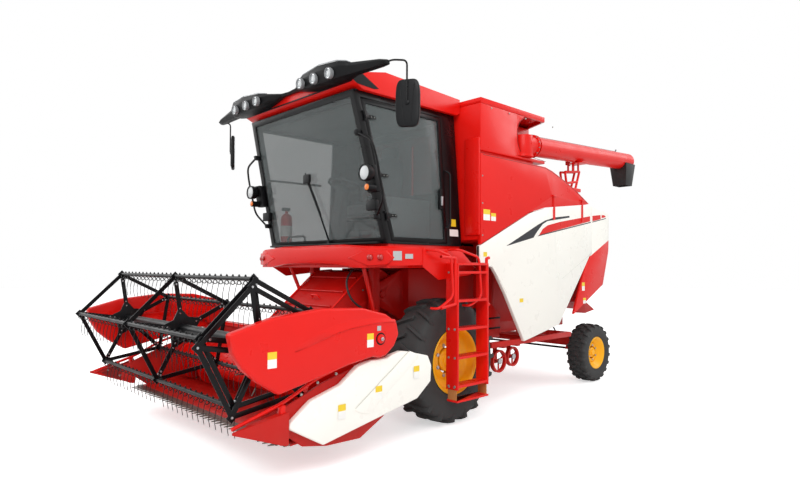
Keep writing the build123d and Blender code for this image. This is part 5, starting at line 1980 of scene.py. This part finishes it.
@dataclass
class UnloadingAuger:
    """The swinging tube with its collars, spout and rest."""

    x: float = 1.250
    pivot: float = 1.290
    end: float = 4.020
    root: float = 3.065
    rise: float = math.radians(3.0)
    radius: float = 0.1212

    def build(self) -> None:
        """Build the auger."""
        dressed("auger_tube", RED, 0.004)
        dressed("auger_spout", HOSE, 0.008)
        self.mounts()
        along = Vector((0, math.cos(self.rise), math.sin(self.rise)))
        up = Vector((0, -math.sin(self.rise), math.cos(self.rise)))
        start = at(self.x, self.pivot, self.root)
        far = (self.end - self.pivot) / math.cos(self.rise)
        pieces = [lathe("tube", [(0.205, self.radius), (far - 0.004, self.radius)], start, along, RED, 48)]
        for low in (0.151, 0.191):
            rows = [(low, self.radius), (low, 0.1395), (low + 0.014, 0.1395), (low + 0.014, self.radius)]
            pieces.append(lathe("collar", rows, start, along, RED, 48, ring=True))
        # The black ring between the collars is painted shade in the gap between them.
        rows = [(0.165, self.radius), (0.165, 0.128), (0.191, 0.128), (0.191, self.radius)]
        pieces.append(lathe("collar_gap", rows, start, along, BLACK_ENAMEL, 48, ring=True))
        ridge = [start + along * reach + up * (self.radius + 0.001) for reach in (0.22, far - 0.35)]
        pieces.append(sweep("top_line", ridge, 0.009, BLACK_PLASTIC, 8))
        hook = [ridge[1], ridge[1] + up * 0.03, ridge[1] + up * 0.03 + along * 0.03]
        pieces.append(sweep("line_hook", hook, 0.006, BLACK_PLASTIC, 8))
        body = body_of("auger_tube")
        settle(merge("auger_skin", pieces), body)
        spots = []
        for n in range(12):
            turn = math.radians(30 * n + 15)
            reach = Vector((math.cos(turn), 0, 0)) + up * math.sin(turn)
            spots.append((start + along * 0.151 + reach * 0.131, -along))
            spots.append((start + along * 0.205 + reach * 0.131, along))
        bolts("auger_collar_bolts", spots, body, ZINC, 0.7)

    def mounts(self) -> None:
        """Weld the open rest for the tube and the collar under its elbow."""
        pivot = at(self.x, self.pivot, 0.0)
        rows = [(2.9155, 0.120), (2.9425, 0.120), (2.9425, 0.02), (2.9155, 0.02)]
        pieces = [lathe("base_collar", rows, pivot, UP, RED, 40, ring=True)]
        bars = (
            ((2.35, 2.655), (2.30, 2.862)),
            ((2.30, 2.862), (2.67, 2.905)),
            ((2.67, 2.905), (2.55, 2.630)),
            ((2.35, 2.720), (2.60, 2.760)),
        )
        for x in (1.215, 1.145):
            for start, end in bars:
                pieces.append(rail("rest_bar", [(x, *start), (x, *end)], 0.016, RED, sides=10))
            for station, foot in ((2.50, 2.885), (2.64, 2.90)):
                post = [(x, station, foot), (x, station, 2.996)]
                pieces.append(rail("rest_post", post, 0.014, RED, sides=10))
        pieces.append(box("rest_pad", (1.152, 1.378), (2.452, 2.668), (2.994, 3.0045), RED, 0.003))
        pieces.append(box("rest_foot", (1.10, 1.289), (2.33, 2.58), (2.61, 2.655), RED, 0.006))
        pieces.append(box("rest_stop", (1.102, 1.112), (2.50, 2.62), (2.99, 3.12), RED, 0.003))
        settle(merge("auger_rest", pieces), "chassis", "auger_mounts")


# Cab

CAB_FLOOR = 1.830
CAB_HEIGHT = 1.470


def cab_front(height: float) -> float:
    """Station of the cab shell's front face at a height."""
    return -0.730 - 0.355 * (height - CAB_FLOOR) / CAB_HEIGHT


def cab_half(height: float) -> float:
    """Half width of the cab shell at a height."""
    return 1.050 - 0.100 * (height - CAB_FLOOR) / CAB_HEIGHT


@dataclass
class Cab:
    """Shell, door, glass, roof, visor, lamps, mirrors and what shows through the glass."""

    lamp_height: float = 2.490
    mirror_turn: float = 30.0
    visor_lamps: tuple[Pair, ...] = ((0.427, 0.003), (0.654, 0.0), (0.898, -0.004))
    hinges: Point = (2.110, 2.500, 3.060)

    def build(self) -> None:
        """Build the cab."""
        dressed("cab_frame", BLACK_ENAMEL, 0.012, 3)
        dressed("cab_door", BLACK_ENAMEL, 0.008)
        dressed("cab_roof", RED, 0.025, 4)
        self.visor()
        dressed("steering_console", DARK_TRIM, 0.008)
        dress_in_place("cab_glass", GLASS)
        dress_in_place("door_glass", GLASS)
        self.seat()
        self.interior()
        self.roof_details()
        self.door_details()
        self.wiper()
        self.lamps()
        self.mirrors()

    def seat(self) -> None:
        """Upholster the seat: cushion, back and head rest."""
        pads = [
            cushion("cushion", at(0, -0.05, 2.25), (0.262, 0.252, 0.075), 0.0, SEAT_CLOTH),
            cushion("backrest", at(0, 0.225, 2.62), (0.245, 0.060, 0.300), 0.12, SEAT_CLOTH),
            cushion("headrest", at(0, 0.275, 2.985), (0.135, 0.035, 0.080), 0.09, SEAT_CLOTH),
        ]
        base = [
            box("base", (-0.225, 0.225), (-0.175, 0.195), (1.862, 2.02), BLACK_PLASTIC, 0.02),
            box("bellows", (-0.19, 0.19), (-0.14, 0.16), (2.02, 2.14), HOSE, 0.015),
            box("pan", (-0.225, 0.225), (-0.26, 0.195), (2.14, 2.19), BLACK_PLASTIC, 0.012),
        ]
        seat = settle(merge("seat_padded", pads + base), "chassis", "operator_seat")

    def interior(self) -> None:
        """Add the lever, the monitor, the bar, the extinguisher and the guard rail."""
        knob = [(0, 0.016), (0.03, 0.026), (0.07, 0.024), (0.09, 0.012)]
        pieces = [
            box("lining", (-0.90, 0.90), (-0.90, 0.30), (3.235, 3.262), DARK_TRIM, 0.01),
            box("armrest", (0.24, 0.40), (-0.30, 0.10), (2.36, 2.40), GREY_TRIM, 0.012),
            box("side_console", (0.44, 0.66), (-0.30, 0.30), (1.865, 2.36), GREY_TRIM, 0.02),
            box("blank_label", (0.49, 0.58), (-0.3013, -0.3005), (2.20, 2.30), DATA_PLATE, 0.0),
            box("monitor", (0.42, 0.60), (-0.56, -0.52), (2.46, 2.62), BLACK_PLASTIC, 0.01),
            rail(
                "monitor_arm",
                [(0.51, -0.54, 2.47), (0.53, -0.40, 2.40), (0.53, -0.25, 2.30)],
                0.014,
                BLACK_PLASTIC,
            ),
            rail("lever", [(0.34, -0.18, 2.35), (0.34, -0.24, 2.48), (0.34, -0.25, 2.56)], 0.010, STEEL),
            lathe("knob", knob, at(0.34, -0.25, 2.54), UP, BLACK_PLASTIC, 20),
            rail("red_strip", [(0.62, 0.05, 2.40), (0.62, 0.05, 2.95)], 0.012, LENS_RED),
            rail("cross_bar", [(-0.975, -0.86, 2.645), (0.10, -0.84, 2.475)], 0.013, BLACK_ENAMEL),
        ]
        settle(merge("cab_fittings", pieces), "chassis")
        bottle = Vector((-0.935, FRONT_AXLE_Y - 0.60, 0.0))
        rows = [(1.880, 0.062), (1.890, 0.070), (2.190, 0.070), (2.235, 0.050), (2.255, 0.018), (2.29, 0.018)]
        red = lathe("bottle", rows, bottle, UP, RED, 32)
        rows = [(1.97, 0.0705), (1.97, 0.0711), (2.10, 0.0711), (2.10, 0.0705)]
        label = lathe("bottle_label", rows, bottle, UP, DECAL_WHITE, 32, ring=True)
        valve = box("valve", (-0.96, -0.91), (-0.66, -0.56), (2.285, 2.325), BLACK_PLASTIC, 0.008)
        settle(merge("extinguisher", [red, label, valve]), "chassis")
        loop = [(-0.80, -0.66, 1.862), (-0.80, -0.66, 1.955), (-0.45, -0.66, 1.955), (-0.45, -0.66, 1.862)]
        settle(rail("floor_rail", loop, 0.013, BLACK_ENAMEL, 0.04), "chassis")

    def visor(self) -> None:
        """Sculpt the visor with its lamp pods and tapering outriggers across the roof's front."""
        # From the middle outwards: X, the height of its top and its underside, the station of its nose.
        half = (
            (0.00, 3.462, 3.436, -1.190),
            (0.15, 3.466, 3.430, -1.205),
            (0.30, 3.478, 3.392, -1.290),
            (0.44, 3.504, 3.366, -1.325),
            (0.72, 3.526, 3.352, -1.340),
            (0.98, 3.508, 3.352, -1.325),
            (1.07, 3.492, 3.362, -1.290),
            (1.10, 3.480, 3.372, -1.262),
            (1.46, 3.425, 3.362, -1.235),
            (1.54, 3.405, 3.366, -1.215),
        )
        rows = [(-x, *rest) for x, *rest in reversed(half[1:])] + list(half)
        verts: list[Vector] = []
        for x, top, low, front in rows:
            rear = -1.134 if abs(x) < 1.0 else -1.150
            nose = low + (top - low) * 0.62
            ring = (
                (rear, low),
                (front + 0.034, low),
                (front, nose),
                (front + 0.010, top - 0.010),
                (front + 0.035, top),
                (rear, top),
            )
            verts += [at(x, *pair) for pair in ring]
        pieces = [soften(mesh_piece("visor_shell", verts, skin(len(rows), 6), BLACK_PLASTIC), 0.006, 2)]
        ahead = Vector((0, -1, -0.12)).normalized()
        for side in Side:
            edge = [at(side.value * x, front + 0.018, top + 0.001) for x, top, _, front in half[2:8]]
            # A pale metal strip painted in as the highlight along the visor's front edge.
            pieces.append(sweep("pale_edge", edge, 0.0045, VISOR_EDGE_HIGHLIGHT, 8))
            for x, lift in self.visor_lamps:
                spot = at(side.value * x, -1.312, 3.408 + lift)
                hood = [
                    (0.0, 0.051), (0.026, 0.0535), (0.036, 0.052), (0.036, 0.044), (0.012, 0.042),
                    (0.0, 0.042),
                ]
                pieces.append(lathe("lamp_hood", hood, spot, ahead, GREY_TRIM, 32, ring=True))
                rim = [(0.010, 0.0435), (0.030, 0.0435), (0.030, 0.038), (0.010, 0.038)]
                pieces.append(lathe("lamp_rim", rim, spot, ahead, CHROME, 32, ring=True))
                lens = [(0.008, 0.040), (0.022, 0.038), (0.027, 0.028), (0.029, 0.012), (0.0295, 0.002)]
                pieces.append(lathe("lamp_lens", lens, spot, ahead, LENS_WHITE, 32))
        settle(merge("visor_sculpted", pieces), "chassis", "roof_visor")

    def roof_details(self) -> None:
        """Add the gaskets and the dark corner patches of the roof."""
        pieces = [
            box("gasket", (-0.985, 0.985), (-1.139, -1.1285), (3.352, 3.366), BLACK_PLASTIC, 0.003),
            box("drip", (-0.97, 0.97), (-1.075, -1.05), (3.288, 3.2998), BLACK_PLASTIC, 0.003),
        ]
        patch = [
            (-1.125, 3.368), (-1.125, 3.436), (-1.02, 3.452), (-0.80, 3.345), (-0.86, 3.330),
            (-1.07, 3.340),
        ]
        for side in Side:
            pieces.append(prism("roof_patch", patch, *side.span(0.9995, 1.003), BLACK_PLASTIC, 0.0))
        settle(merge("roof_details", pieces), "chassis")

    def door_details(self) -> None:
        """Add the loop handle, the latch and the hinge blocks of the door."""
        pieces = []
        rows = ((0.012, 2.02, 0.13), (0.055, 2.05, 0.16), (0.055, 2.62, 0.20), (0.012, 2.65, 0.17))
        points = [at(cab_half(z) + away, station, z) for away, z, station in rows]
        pieces.append(sweep("loop_handle", rounded(points, 0.03), 0.011, BLACK_PLASTIC, 12))
        low = cab_half(2.35) - 0.002
        pieces.append(box("latch", (low, low + 0.030), (0.045, 0.095), (2.22, 2.44), BLACK_PLASTIC, 0.008))
        pieces.append(
            box("latch_grip", (low + 0.028, low + 0.045), (0.055, 0.085), (2.26, 2.36), STEEL, 0.005),
        )
        # Outline of a strap: a distance behind the cab's front and a rise.
        strap = ((0.09, -0.018), (0.205, -0.015), (0.22, 0.0), (0.205, 0.015), (0.09, 0.018))
        for height in self.hinges:
            verts = []
            for away in (0.0015, 0.0095):
                for back, rise in strap:
                    z = height + rise
                    verts.append(at(cab_half(z) + away, cab_front(z) + back, z))
            pieces.append(mesh_piece("strap_hinge", verts, skin(2, 5), BLACK_ENAMEL))
        settle(merge("door_furniture", pieces), body_of("cab_door"))
        spots = []
        for height in self.hinges:
            for station in (0.155, 0.195):
                spot = at(cab_half(height) + 0.0095, cab_front(height) + station, height)
                spots.append((spot, Vector((1, 0, 0.07))))
        bolts("door_bolts", spots, body_of("cab_door"), ZINC, 0.42)
        labels = []
        for finish, station, height, wide, tall in (
            (DECAL_YELLOW, 0.275, 2.085, 0.08, 0.08),
            (DECAL_WHITE, 0.276, 1.975, 0.14, 0.075),
        ):
            x = cab_half(height) + 0.0002
            low, high = station - wide / 2, station + wide / 2
            lift = cab_half(0.0) - cab_half(tall / 2)
            verts = [
                at(x + away + tilt, s, z)
                for away in (0.0, 0.0008)
                for s, z, tilt in (
                    (low, height - tall / 2, lift),
                    (high, height - tall / 2, lift),
                    (high, height + tall / 2, -lift),
                    (low, height + tall / 2, -lift),
                )
            ]
            labels.append(mesh_piece("label", verts, skin(2, 4), finish))
        settle(merge("cab_labels", labels), "chassis")

    def wiper(self) -> None:
        """Lay the wiper over the windscreen."""

        def spot(x: float, z: float, off: float) -> Point:
            """A place in front of the windscreen."""
            return (x, cab_front(z) - off, z)

        arm = [spot(0.153, 1.89, 0.02), spot(0.10, 2.15, 0.03), spot(-0.01, 2.50, 0.028)]
        blade = [spot(-0.05, 2.62, 0.012), spot(-0.01, 2.50, 0.012), spot(0.09, 2.16, 0.012)]
        pivot = [spot(0.153, 1.865, -0.01), spot(0.153, 1.865, 0.035)]
        along = (cab_front(2.54) - 0.05, cab_front(2.54) - 0.02)
        pieces = [
            rail("wiper_arm", arm, 0.010, BLACK_PLASTIC),
            rail("wiper_blade", blade, 0.008, HOSE),
            box("wiper_head", (-0.075, 0.045), along, (2.50, 2.60), BLACK_PLASTIC, 0.012),
            rail("wiper_pivot", pivot, 0.020, BLACK_PLASTIC),
        ]
        settle(merge("wiper", pieces), "chassis")

    def lamps(self) -> None:
        """Make the pillar lamps with their brackets and indicators."""
        pieces = []
        face = cab_front(self.lamp_height)
        # Each foot's lower and upper edge, and its span across.
        feet = (
            (self.lamp_height - 0.17, self.lamp_height + 0.08, 0.960, 1.100),
            (2.865, 2.915, 0.915, 0.965),
            (2.065, 2.115, 0.985, 1.030),
        )
        for side in Side:
            sign = side.value
            for low, high, near, far in feet:
                plate = [
                    (cab_front(low) - 0.0006, low),
                    (cab_front(high) - 0.0006, high),
                    (cab_front(high) - 0.058, high),
                    (cab_front(low) - 0.058, low),
                ]
                pieces.append(prism("foot", plate, *side.span(near, far), BLACK_PLASTIC, 0.006))
            loop = [
                (sign * 0.945, cab_front(2.89) - 0.040, 2.890),
                (sign * 1.150, cab_front(2.80) - 0.060, 2.800),
                (sign * 1.180, cab_front(2.65) - 0.060, 2.650),
                (sign * 1.180, cab_front(2.25) - 0.060, 2.250),
                (sign * 1.010, cab_front(2.09) - 0.040, 2.090),
            ]
            pieces.append(rail("loop", loop, 0.0115, BLACK_ENAMEL, 0.07))
            spot = at(sign * 1.060, face, self.lamp_height)
            shell = [(0.055, 0.035), (0.062, 0.058), (0.085, 0.074), (0.120, 0.0795)]
            shell += [(0.150, 0.080), (0.150, 0.070), (0.128, 0.068)]
            pieces.append(lathe("lamp_shell", shell, spot, AHEAD, BLACK_PLASTIC, 36))
            lens = [(0.130, 0.0695), (0.142, 0.066), (0.1475, 0.045), (0.149, 0.02), (0.1495, 0.003)]
            pieces.append(lathe("lamp_glass", lens, spot, AHEAD, LENS_WHITE, 36))
            spot = at(sign * 1.070, face, self.lamp_height - 0.135)
            rows = [(0.02, 0.033), (0.10, 0.035), (0.118, 0.035), (0.118, 0.031)]
            pieces.append(lathe("indicator_shell", rows, spot, AHEAD, BLACK_PLASTIC, 28))
            rows = [(0.112, 0.0315), (0.124, 0.028), (0.129, 0.016), (0.130, 0.003)]
            pieces.append(lathe("indicator_lens", rows, spot, AHEAD, LENS_AMBER, 28))
            along = (cab_front(2.20) - 0.055, cab_front(2.20) - 0.004)
            relay = box("relay_box", side.span(0.90, 1.04), along, (2.15, 2.25), BLACK_PLASTIC, 0.01)
            pieces.append(relay)
        settle(merge("pillar_lamps_round", pieces), "chassis", "pillar_lamps")

    def mirrors(self) -> None:
        """Make the wing mirrors, turned outwards, with ribbed shells, glass and thin bent arms."""
        pieces = []
        for side in Side:
            sign = side.value
            middle = at(sign * 1.597, -0.985, 3.0485)
            shell = cushion("shell", Vector(), (0.112, 0.026, 0.2125), 0.0, BLACK_PLASTIC)
            glass = cushion("glass", Vector((0, 0.0235, 0)), (0.098, 0.004, 0.196), 0.0, MIRROR)
            ribs = [
                sweep(
                    "rib",
                    [Vector((x * share, -0.0245, z)) for x, z in ((0.065, 0.17), (0.05, 0.0), (0.03, -0.17))],
                    0.004,
                    BLACK_PLASTIC,
                    8,
                )
                for share in (1, -1)
            ]
            rows = [(0.0, 0.022), (0.034, 0.020), (0.038, 0.012)]
            stud = lathe("stud", rows, Vector(), AHEAD, BLACK_PLASTIC, 20)
            turned = merge("turned_mirror", [shell, glass, stud, *ribs])
            spin = Matrix.Rotation(sign * math.radians(self.mirror_turn), 4, "Z")
            turned.data.transform(Matrix.Translation(middle) @ spin)
            eye = middle + spin.to_3x3() @ AHEAD * 0.034
            arm = [
                at(sign * 1.500, -1.190, 3.375),
                at(sign * 1.560, -1.150, 3.405),
                Vector((eye.x, eye.y, 3.420)),
                Vector((eye.x, eye.y, 3.060)),
            ]
            pieces += [turned, sweep("arm", rounded(arm, 0.045), 0.0085, BLACK_ENAMEL)]
        settle(merge("mirrors_round", pieces), "chassis", "mirrors")


# Platform and ladder


@dataclass
class Access:
    """Deck, fascia with its lamps, ladder, steps, rails and straps."""

    rail_x: float = 1.500
    treads: int = 5
    lowest: float = 0.420
    pitch: float = 0.279
    lower_step: float = 0.3001

    def build(self) -> None:
        """Build the way up to the cab."""
        dressed("platform", RED, 0.005)
        self.fascia()
        dressed("ladder", RED, 0.003)
        straps = dressed("step_straps", STRAP, 0.003)
        straps.data.materials.append(RED.build())
        for face in straps.data.polygons:
            if face.center.z < 0.301:
                face.material_index = 1
        self.fascia_details()
        self.rails()
        self.steps()

    def plan(self, x: float) -> float:
        """Find the fascia's face in plan.

        Args:
            x: Distance from the middle.

        Returns:
            Station of the face there.
        """
        table = (
            (0.0, -0.911), (0.62, -0.911), (0.85, -0.897), (1.02, -0.860), (1.17, -0.800),
            (1.28, -0.715), (1.345, -0.610), (1.368, -0.50),
        )
        return between(table, abs(x))

    def fascia(self) -> None:
        """Bend the fascia round both front corners of the deck."""
        # From the middle outwards: X, the height of its top edge and of its lower edge.
        half = (
            (0.0, 1.826, 1.640),
            (0.40, 1.826, 1.632),
            (0.56, 1.826, 1.618),
            (0.74, 1.815, 1.596),
            (0.85, 1.808, 1.590),
            (0.98, 1.803, 1.596),
            (1.10, 1.800, 1.606),
            (1.20, 1.798, 1.612),
            (1.28, 1.796, 1.616),
            (1.330, 1.795, 1.618),
            (1.358, 1.795, 1.618),
            (1.368, 1.795, 1.618),
        )
        rows = [(-x, top, low) for x, top, low in reversed(half[1:])] + list(half)
        verts: list[Vector] = []
        for x, top, low in rows:
            face = self.plan(x)
            share = min(1.0, abs(x) / half[-1][0]) ** 3
            inward = -math.copysign(0.045 * share, x)
            ring = (
                (0.045, low),
                (0.006, low),
                (-0.012, low + 0.35 * (top - low)),
                (0.004, top - 0.018),
                (0.030, top),
                (0.060, top - 0.004),
            )
            for back, z in ring:
                depth = back * (1.0 - share)
                verts.append(at(x + inward * max(0.0, back) / 0.045, face + depth, z))
        shell = mesh_piece("fascia_shell", verts, skin(len(rows), 6), RED)
        shade(shell, 30)
        backing = box("fascia_backing", (-1.0, 1.0), (-0.86, -0.8008), (1.625, 1.800), RED, 0.006)
        settle(merge("fascia_bent", [shell, backing]), "chassis", "front_fascia")

    def fascia_details(self) -> None:
        """Add the raised panels, lamps, blank plates and the ladder's gussets."""
        pieces = []
        for side in Side:
            sign = side.value
            hexagon = [
                (0.66, 1.690), (0.90, 1.762), (1.150, 1.762), (1.215, 1.690), (1.150, 1.618),
                (0.95, 1.606),
            ]
            count = len(hexagon)
            middle_x = sum(x for x, _ in hexagon) / count
            middle_z = sum(z for _, z in hexagon) / count
            verts = []
            for lift, shrink in ((0.0, 1.0), (0.020, 0.93)):
                for x, z in hexagon:
                    x, z = middle_x + (x - middle_x) * shrink, middle_z + (z - middle_z) * shrink
                    verts.append(at(sign * (x + lift * 0.5), self.plan(x) - lift, z))
            pieces.append(soften(mesh_piece("raised_panel", verts, skin(2, count), RED), 0.006, 2))
            for x in (0.975, 1.085):
                slope = Vector((sign * 0.42, -0.9, 0)).normalized()
                rows = [(0.0, 0.031), (0.006, 0.031), (0.013, 0.026), (0.020, 0.015), (0.022, 0.004)]
                spot = at(sign * (x + 0.008), self.plan(x) - 0.018, 1.693)
                pieces.append(lathe("dome_lamp", rows, spot, slope, LENS_RED, 28))
            across = side.span(0.0, 0.985)
            pieces.append(box("sill_band", across, (-0.80, -0.735), (1.829, 1.850), BLACK_PLASTIC, 0.004))
            gusset = [
                (-0.545, 1.784), (-0.545, 1.600), (-0.328, 1.475), (0.164, 1.521), (0.240, 1.600),
                (0.003, 1.776),
            ]
            pieces.append(prism("gusset", gusset, *side.span(1.3605, 1.3675), RED, 0.002))
        for (x, z), (far_x, far_z) in (((1.195, 1.664), (1.262, 1.752)), ((1.285, 1.680), (1.325, 1.725))):
            verts = []
            for lift in (0.0045, 0.0055):
                for place, height in ((x, z), (far_x, z), (far_x, far_z), (x, far_z)):
                    verts.append(at(place + lift, self.plan(place) - lift, height))
            pieces.append(mesh_piece("blank_plate", verts, skin(2, 4), DATA_PLATE))
        settle(merge("fascia_details", pieces), "chassis")

    def rails(self) -> None:
        """Bend smooth handrails beside the ladder, on the deck and up to the cab."""
        pieces = []
        for station, ends in ((-0.230, -0.210), (0.260, 0.040)):
            turns = ((station + ends, 1.700), (station, 1.690), (station, 1.240), (station + ends, 1.210))
            pieces.append(rail("handrail", [(self.rail_x, *spot) for spot in turns], 0.0165, RED, 0.012))
        loops = (
            ((-0.500, 1.762), (-0.292, 1.708), (-0.262, 1.316), (-0.470, 1.205)),
            ((-0.180, 1.775), (0.137, 1.702), (0.176, 1.301), (0.000, 1.215)),
        )
        for loop in loops:
            run = [(1.375, *loop[0]), *((self.rail_x, *spot) for spot in loop), (1.40, *loop[-1])]
            pieces.append(rail("grab_loop", run, 0.0125, RED, 0.06))
        settle(merge("ladder_rails", pieces), "chassis")

    def steps(self) -> None:
        """Lay dark sheets of painted shade for the slots in the steps, and bolt the stringers."""
        outline = [(-0.016, -0.003), (-0.010, 0.004), (0.016, 0.003), (0.010, -0.004)]
        slot = prism("slot", outline, 0.0, 0.0006, SLOT_SHADE, 0.0, View.TOP)
        slot.data.transform(Matrix.Translation((0, -FRONT_AXLE_Y, 0)))
        levels = [self.lowest + n * self.pitch for n in range(self.treads)]
        slant = Euler((0, 0, 0.6))
        places = [
            (at(1.400 + 0.034 * row, -0.165 + 0.046 * k, height), slant)
            for height in (*(level + 0.0251 for level in levels), self.lower_step)
            for row in range(4)
            for k in range(9)
        ]
        settle(repeat("step_slots", slot, places, SLOT_SHADE), "chassis")
        spots = []
        for level in levels:
            for station, way in ((-0.2201, -1), (0.2701, 1)):
                for x in (1.405, 1.485):
                    spots.append((at(x, station, level + 0.0125), Vector((0, way, 0))))
        for x in (1.41, 1.48):
            spots.append((at(x, -0.2201, 0.425), AHEAD))
        bolts("ladder_bolts", spots, "chassis", ZINC, 1.1)


# Hoses


@dataclass
class Hoses:
    """Free hydraulic hoses between fixed fittings."""

    diameter: float = 0.022
    platform_route: tuple[Point, ...] = (
        (0.50, -0.700, 1.578),
        (0.50, -0.790, 1.50),
        (0.56, -0.830, 1.36),
        (0.62, -0.80, 1.24),
        (0.640, -0.65, 1.15),
        (0.620, -0.535, 1.11),
    )
    rear_route: tuple[Point, ...] = (
        (0.55, 2.72, 0.98),
        (0.58, 2.80, 0.86),
        (0.62, 2.90, 0.78),
        (0.63, 3.00, 0.70),
        (0.60, 3.10, 0.60),
    )

    def build(self) -> None:
        """Hang the hoses on the chassis."""
        self.hose("platform_hose", self.platform_route)
        self.hose("rear_hose", self.rear_route)

    def hose(self, name: str, corners: tuple[Point, ...]) -> None:
        """Lay one hose along route points.

        Args:
            name: Piece name.
            corners: Route points as X, station and height.
        """
        data = bpy.data.curves.new(name, "CURVE")
        data.dimensions = "3D"
        spline = data.splines.new("NURBS")
        points = [at(*corner) for corner in corners]
        spline.points.add(len(points) - 1)
        for spot, point in zip(spline.points, points):
            spot.co = (*point, 1.0)
        spline.order_u = 3
        spline.use_endpoint_u = True
        spline.resolution_u = 12
        data.bevel_depth = self.diameter / 2
        data.bevel_resolution = 3
        data.materials.append(HOSE.build())
        made = link(name, data)
        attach(made, "chassis")


# Stage, light and camera


@dataclass
class Studio:
    """Pale floor, soft lamps and the photograph's camera."""

    floor_colour: str = "#F4F4F4"
    floor_half: float = 40.0
    floor_glow: float = 0.55
    daylight: float = 0.72
    camera_place: Point = (5.2338, -5.1387, 1.6090)
    yaw: float = 0.8074716
    pitch: float = 0.0277586
    roll: float = 0.0041113
    lens: float = 26.155
    sensor: float = 36.0

    def build(self) -> None:
        """Make the floor, the world, the lamps and the camera."""
        self.floor()
        self.world()
        self.lamps()
        self.camera()

    def floor(self) -> None:
        """Lay the pale floor, which shows as white to the camera but keeps the shadow."""
        made = bpy.data.materials.new("studio_floor")
        made.use_nodes = True
        tree = made.node_tree
        shader = tree.nodes["Principled BSDF"]
        shader.inputs["Base Color"].default_value = linear(self.floor_colour)
        shader.inputs["Roughness"].default_value = 0.9
        shader.inputs["Emission Color"].default_value = (1.0, 1.0, 1.0, 1.0)
        path = add_node(tree, "ShaderNodeLightPath")
        glow = add_node(
            tree,
            "ShaderNodeMath",
            {"operation": "MULTIPLY"},
            values={1: self.floor_glow},
            links={0: path.outputs["Is Camera Ray"]},
        )
        tree.links.new(glow.outputs["Value"], shader.inputs["Emission Strength"])
        half = self.floor_half
        mesh = bpy.data.meshes.new("studio_floor")
        mesh.from_pydata(
            [(-half, -half, 0), (half, -half, 0), (half, half, 0), (-half, half, 0)],
            [],
            [(0, 1, 2, 3)],
        )
        floor = link("studio_floor", mesh)
        mesh.materials.append(made)

    def world(self) -> None:
        """Light everything softly and show white to the camera, in gloss and through glass."""
        world = bpy.data.worlds.new("studio")
        bpy.context.scene.world = world
        world.use_nodes = True
        tree = world.node_tree
        tree.nodes.clear()
        path = add_node(tree, "ShaderNodeLightPath")
        seen = path.outputs["Is Camera Ray"]
        for ray in ("Is Transmission Ray", "Is Glossy Ray"):
            either = add_node(
                tree, "ShaderNodeMath", {"operation": "MAXIMUM"}, links={0: seen, 1: path.outputs[ray]}
            )
            seen = either.outputs["Value"]
        strength = add_node(
            tree, "ShaderNodeMapRange", values={"To Min": self.daylight, "To Max": 1.0}, links={"Value": seen}
        )
        back = add_node(
            tree,
            "ShaderNodeBackground",
            values={"Color": (1.0, 1.0, 1.0, 1.0)},
            links={"Strength": strength.outputs["Result"]},
        )
        add_node(tree, "ShaderNodeOutputWorld", links={"Surface": back.outputs["Background"]})

    def lamps(self) -> None:
        """Hang three soft area lamps round the machine."""
        # Name, place, power in watts and width of each.
        rows = (
            ("key_lamp", (6.5, -6.5, 7.5), 430.0, 5.0),
            ("fill_lamp", (-7.5, -6.0, 6.0), 190.0, 6.0),
            ("rear_lamp", (5.0, 8.0, 8.0), 220.0, 6.0),
        )
        for name, place, power, size in rows:
            data = bpy.data.lights.new(name, "AREA")
            data.energy = power
            data.size = size
            lamp = link(name, data)
            lamp.location = place
            lamp.rotation_euler = (Vector((0, 0, 1.2)) - Vector(place)).to_track_quat("-Z", "Y").to_euler()

    def camera(self) -> None:
        """Set the camera solved from the photograph."""
        data = bpy.data.cameras.new("photo_camera")
        data.sensor_fit = "HORIZONTAL"
        data.sensor_width = self.sensor
        data.lens = self.lens
        data.clip_end = 200.0
        camera = link("photo_camera", data)
        flat = math.cos(self.pitch)
        ahead = Vector((-math.sin(self.yaw) * flat, math.cos(self.yaw) * flat, math.sin(self.pitch)))
        right = Vector((math.cos(self.yaw), math.sin(self.yaw), 0.0))
        up = right.cross(ahead)
        turned = right * math.cos(self.roll) + up * math.sin(self.roll)
        above = turned.cross(ahead)
        spin = Matrix((turned, above, -ahead)).transposed().to_4x4()
        camera.matrix_world = Matrix.Translation(self.camera_place) @ spin
        bpy.context.scene.camera = camera
        bpy.context.scene.view_settings.view_transform = "Standard"


def main() -> None:
    """Build the scene from its sub-assemblies."""
    logging.basicConfig(level=logging.INFO, format="%(name)s %(message)s")
    Studio().build()
    Hoses().build()
    Body().build()
    for wheel in (FRONT_WHEEL, REAR_WHEEL):
        WheelPair(wheel).build()
    UnloadingAuger().build()
    Cab().build()
    Access().build()
    Header().build()
    Reel().build()


if __name__ == "__main__":
    main()
